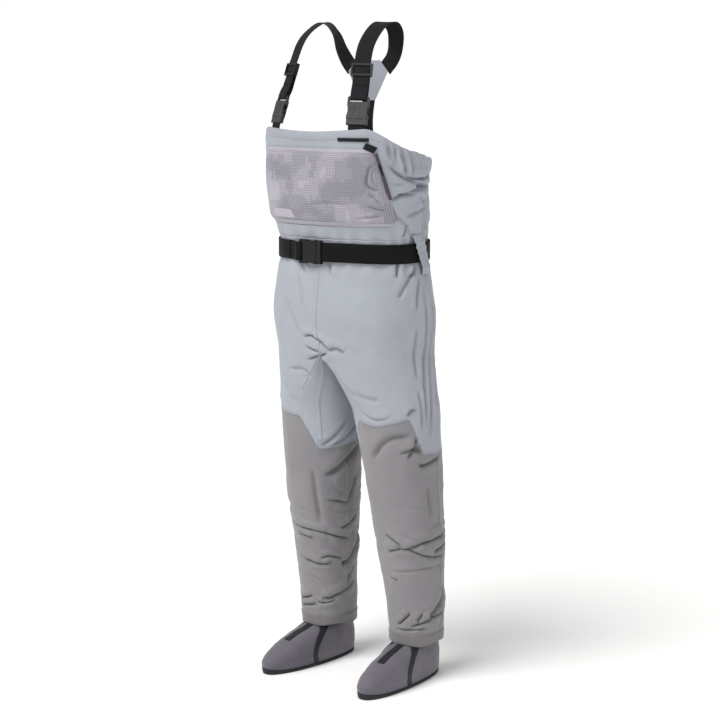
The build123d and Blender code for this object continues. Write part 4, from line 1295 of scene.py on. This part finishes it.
def turn_at_y(y, z, hand):
    """Where a point on one side of the foot is at y along it."""
    toe, heel, _ = np.moveaxis(smooth_rows(FOOT, z), -1, 0)
    share = ((toe + heel) / 2 - y) / ((heel - toe) / 2)
    s = np.sign(share) * np.clip(np.abs(share), 0, 1) ** 1.2
    return np.arctan2(s, hand * np.sqrt(np.clip(1 - s * s, 0, 1)))


def make_bootie(side, columns=140, rows=100):
    turn = np.linspace(0, 2 * math.pi, columns + 1)[:-1]
    z = np.linspace(0.0095, 0.128, rows)[:, None]
    turns = np.broadcast_to(turn, (rows, columns))
    heights = np.broadcast_to(z, (rows, columns))
    points = foot_skin(side, turns, heights)
    uv = np.stack([turns * 0.08, heights], -1)
    piece = surface_piece(f"bootie_neoprene_{side}", points, uv, NEOPRENE, flip=True, wrap=True, thick=0.004)
    ride_as(piece, "garment", "neoprene", f"bootie_{side}")
    make_sole(side, turn)
    make_instep_tape(side)
    for hand, label in ((1.0, "outer"), (-1.0, "inner")):
        make_foot_tape(side, hand, label)


def make_sole(side, turn):
    """The rubber sole, whose edge rises at the toe."""
    toe_share = np.clip(np.sin(turn), 0, 1) ** 3
    top = 0.0075 + 0.0095 * toe_share + 0.0012 * np.sin(turn * 3 + 1)
    low = ((0.0, -0.004), (0.0, 0.0004), (0.002, 0.0016))
    under = [(np.full(len(turn), height), out) for height, out in low]
    upper = [(top - 0.0006, 0.0014), (top, 0.0006), (top * 0.97, -0.003)]
    points = np.array([foot_point(side, turn, height, out) for height, out in under + upper])
    count = len(turn)
    last = (len(points) - 1) * count
    faces = grid_faces(len(points), count, wrap=True)
    faces += [tuple(range(count)), tuple(last + i for i in range(count))]
    sole = joined(f"sole_rubber_{side}", [(points, faces, points[..., :2], 0)], [SOLE])
    ride_as(sole, "garment", "sole_rubber", f"sole_{side}")


def make_instep_tape(side):
    x = np.linspace(-0.0095, 0.0095, 12)[None, :] * np.ones((40, 1))
    z = np.linspace(0.072, 0.108, 40)[:, None] * np.ones((1, 12))
    points = foot_skin(side, turn_at_x(x, z), z, 0.0016)
    strip = surface_piece(f"instep_tape_{side}", points, np.stack([x, z], -1), TAPE, thick=0.0018)
    ride_as(strip, "garment", "tape_black", f"instep_strip_{side}")


def make_foot_tape(side, hand, label):
    """The tape that runs down one side of the foot to the sole."""
    line = smooth_path(FOOT_TAPE, 46)
    run = unit(np.gradient(line, axis=0))
    square = np.stack([-run[:, 1], run[:, 0]], -1)
    offset = np.linspace(-0.0072, 0.0072, 9)
    flat = line[:, None] + square[:, None] * offset[None, :, None]
    turns = turn_at_y(flat[..., 0], flat[..., 1], hand)
    points = foot_skin(side, turns, flat[..., 1], 0.0014)
    tape = surface_piece(f"bootie_tape_{label}_{side}", points, flat, TAPE, flip=hand > 0, thick=0.0016)
    ride_as(tape, "garment", "tape_black", f"bootie_side_tapes_{side}")


# ---- hard pieces that keep their CAD shape ------------------------------------------------
# start of the node's name: material and radius of its rounded edges
HARD = {"shoulder_buckle": (PLASTIC, 0.0009), "belt_buckle": (DARK_PLASTIC, 0.0009),
        "strap_slider": (DARK_PLASTIC, 0.0009), "zip_slider": (DARK_PLASTIC, 0.0002),
        "zip_pull": (DARK_PLASTIC, 0.0002), "back_yoke": (LIGHT, 0.0008)}


def dress_hard_pieces():
    for node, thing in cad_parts.items():
        for start, (material, radius) in HARD.items():
            if node.startswith(start):
                dress(thing, material, radius)


def dress(thing, material, radius):
    """Gives a piece that keeps its CAD shape its material and rounded edges."""
    if not thing.material_slots:
        thing.data.materials.append(material)
    for place in thing.material_slots:
        place.link = "OBJECT"
        place.material = material
    rounded = thing.modifiers.new("rounded", "BEVEL")
    rounded.width = radius
    rounded.segments = 2
    rounded.limit_method = "ANGLE"
    rounded.angle_limit = math.radians(40)


make_pocket()
make_zip()
for side in SIDES:
    make_strap(side)
    make_belt_keeper(side)
    make_bootie(side)
make_yoke()
make_belt()
dress_hard_pieces()


# ---- camera, light and floor --------------------------------------------------------------
def aim(thing, place, target):
    thing.location = place
    thing.rotation_euler = (Vector(target) - Vector(place)).to_track_quat("-Z", "Y").to_euler()
    bpy.context.scene.collection.objects.link(thing)


def make_stage():
    scene = bpy.context.scene
    camera = bpy.data.objects.new("camera", bpy.data.cameras.new("camera"))
    camera.data.lens = 93.3
    camera.data.sensor_width = 36.0
    distance, azimuth, pitch = 4.57, math.radians(38), math.radians(9.1)
    place = Vector((distance * math.sin(azimuth), 0.032 - distance * math.cos(azimuth), 1.53))
    ahead = Vector((-math.sin(azimuth), math.cos(azimuth), -math.tan(pitch)))
    aim(camera, place, place + ahead)
    scene.camera = camera

    floor = bpy.data.meshes.new("floor")
    floor.from_pydata([(-30, -30, 0), (30, -30, 0), (30, 30, 0), (-30, 30, 0)], [], [(0, 1, 2, 3)])
    paper = Nodes("floor_paper", 0.9)
    paper.shader.inputs["Base Color"].default_value = (1.0, 1.0, 1.0, 1)
    floor.materials.append(paper.material)
    ground = bpy.data.objects.new("floor", floor)
    scene.collection.objects.link(ground)

    world = bpy.data.worlds.new("studio")
    world.use_nodes = True
    sky = world.node_tree.nodes["Background"]
    sky.inputs["Color"].default_value = (1.0, 1.0, 1.0, 1)
    seen = world.node_tree.nodes.new("ShaderNodeLightPath").outputs["Is Camera Ray"]
    strength = world.node_tree.nodes.new("ShaderNodeMapRange")
    strength.inputs["To Min"].default_value = 0.52
    strength.inputs["To Max"].default_value = 1.0
    world.node_tree.links.new(seen, strength.inputs["Value"])
    world.node_tree.links.new(strength.outputs[0], sky.inputs["Strength"])
    scene.world = world
    key = bpy.data.lights.new("key", "SUN")
    key.energy = 2.5
    key.angle = math.radians(38)
    key.color = (1.0, 0.99, 0.97)
    aim(bpy.data.objects.new("key", key), (-0.7, -3.4, 5.0), (0, 0, 0.8))
    fill = bpy.data.lights.new("fill", "AREA")
    fill.size = 3.0
    fill.energy = 12
    aim(bpy.data.objects.new("fill", fill), (3.8, -2.0, 1.8), (0, 0, 0.8))
    scene.view_settings.view_transform = "Standard"


make_stage()
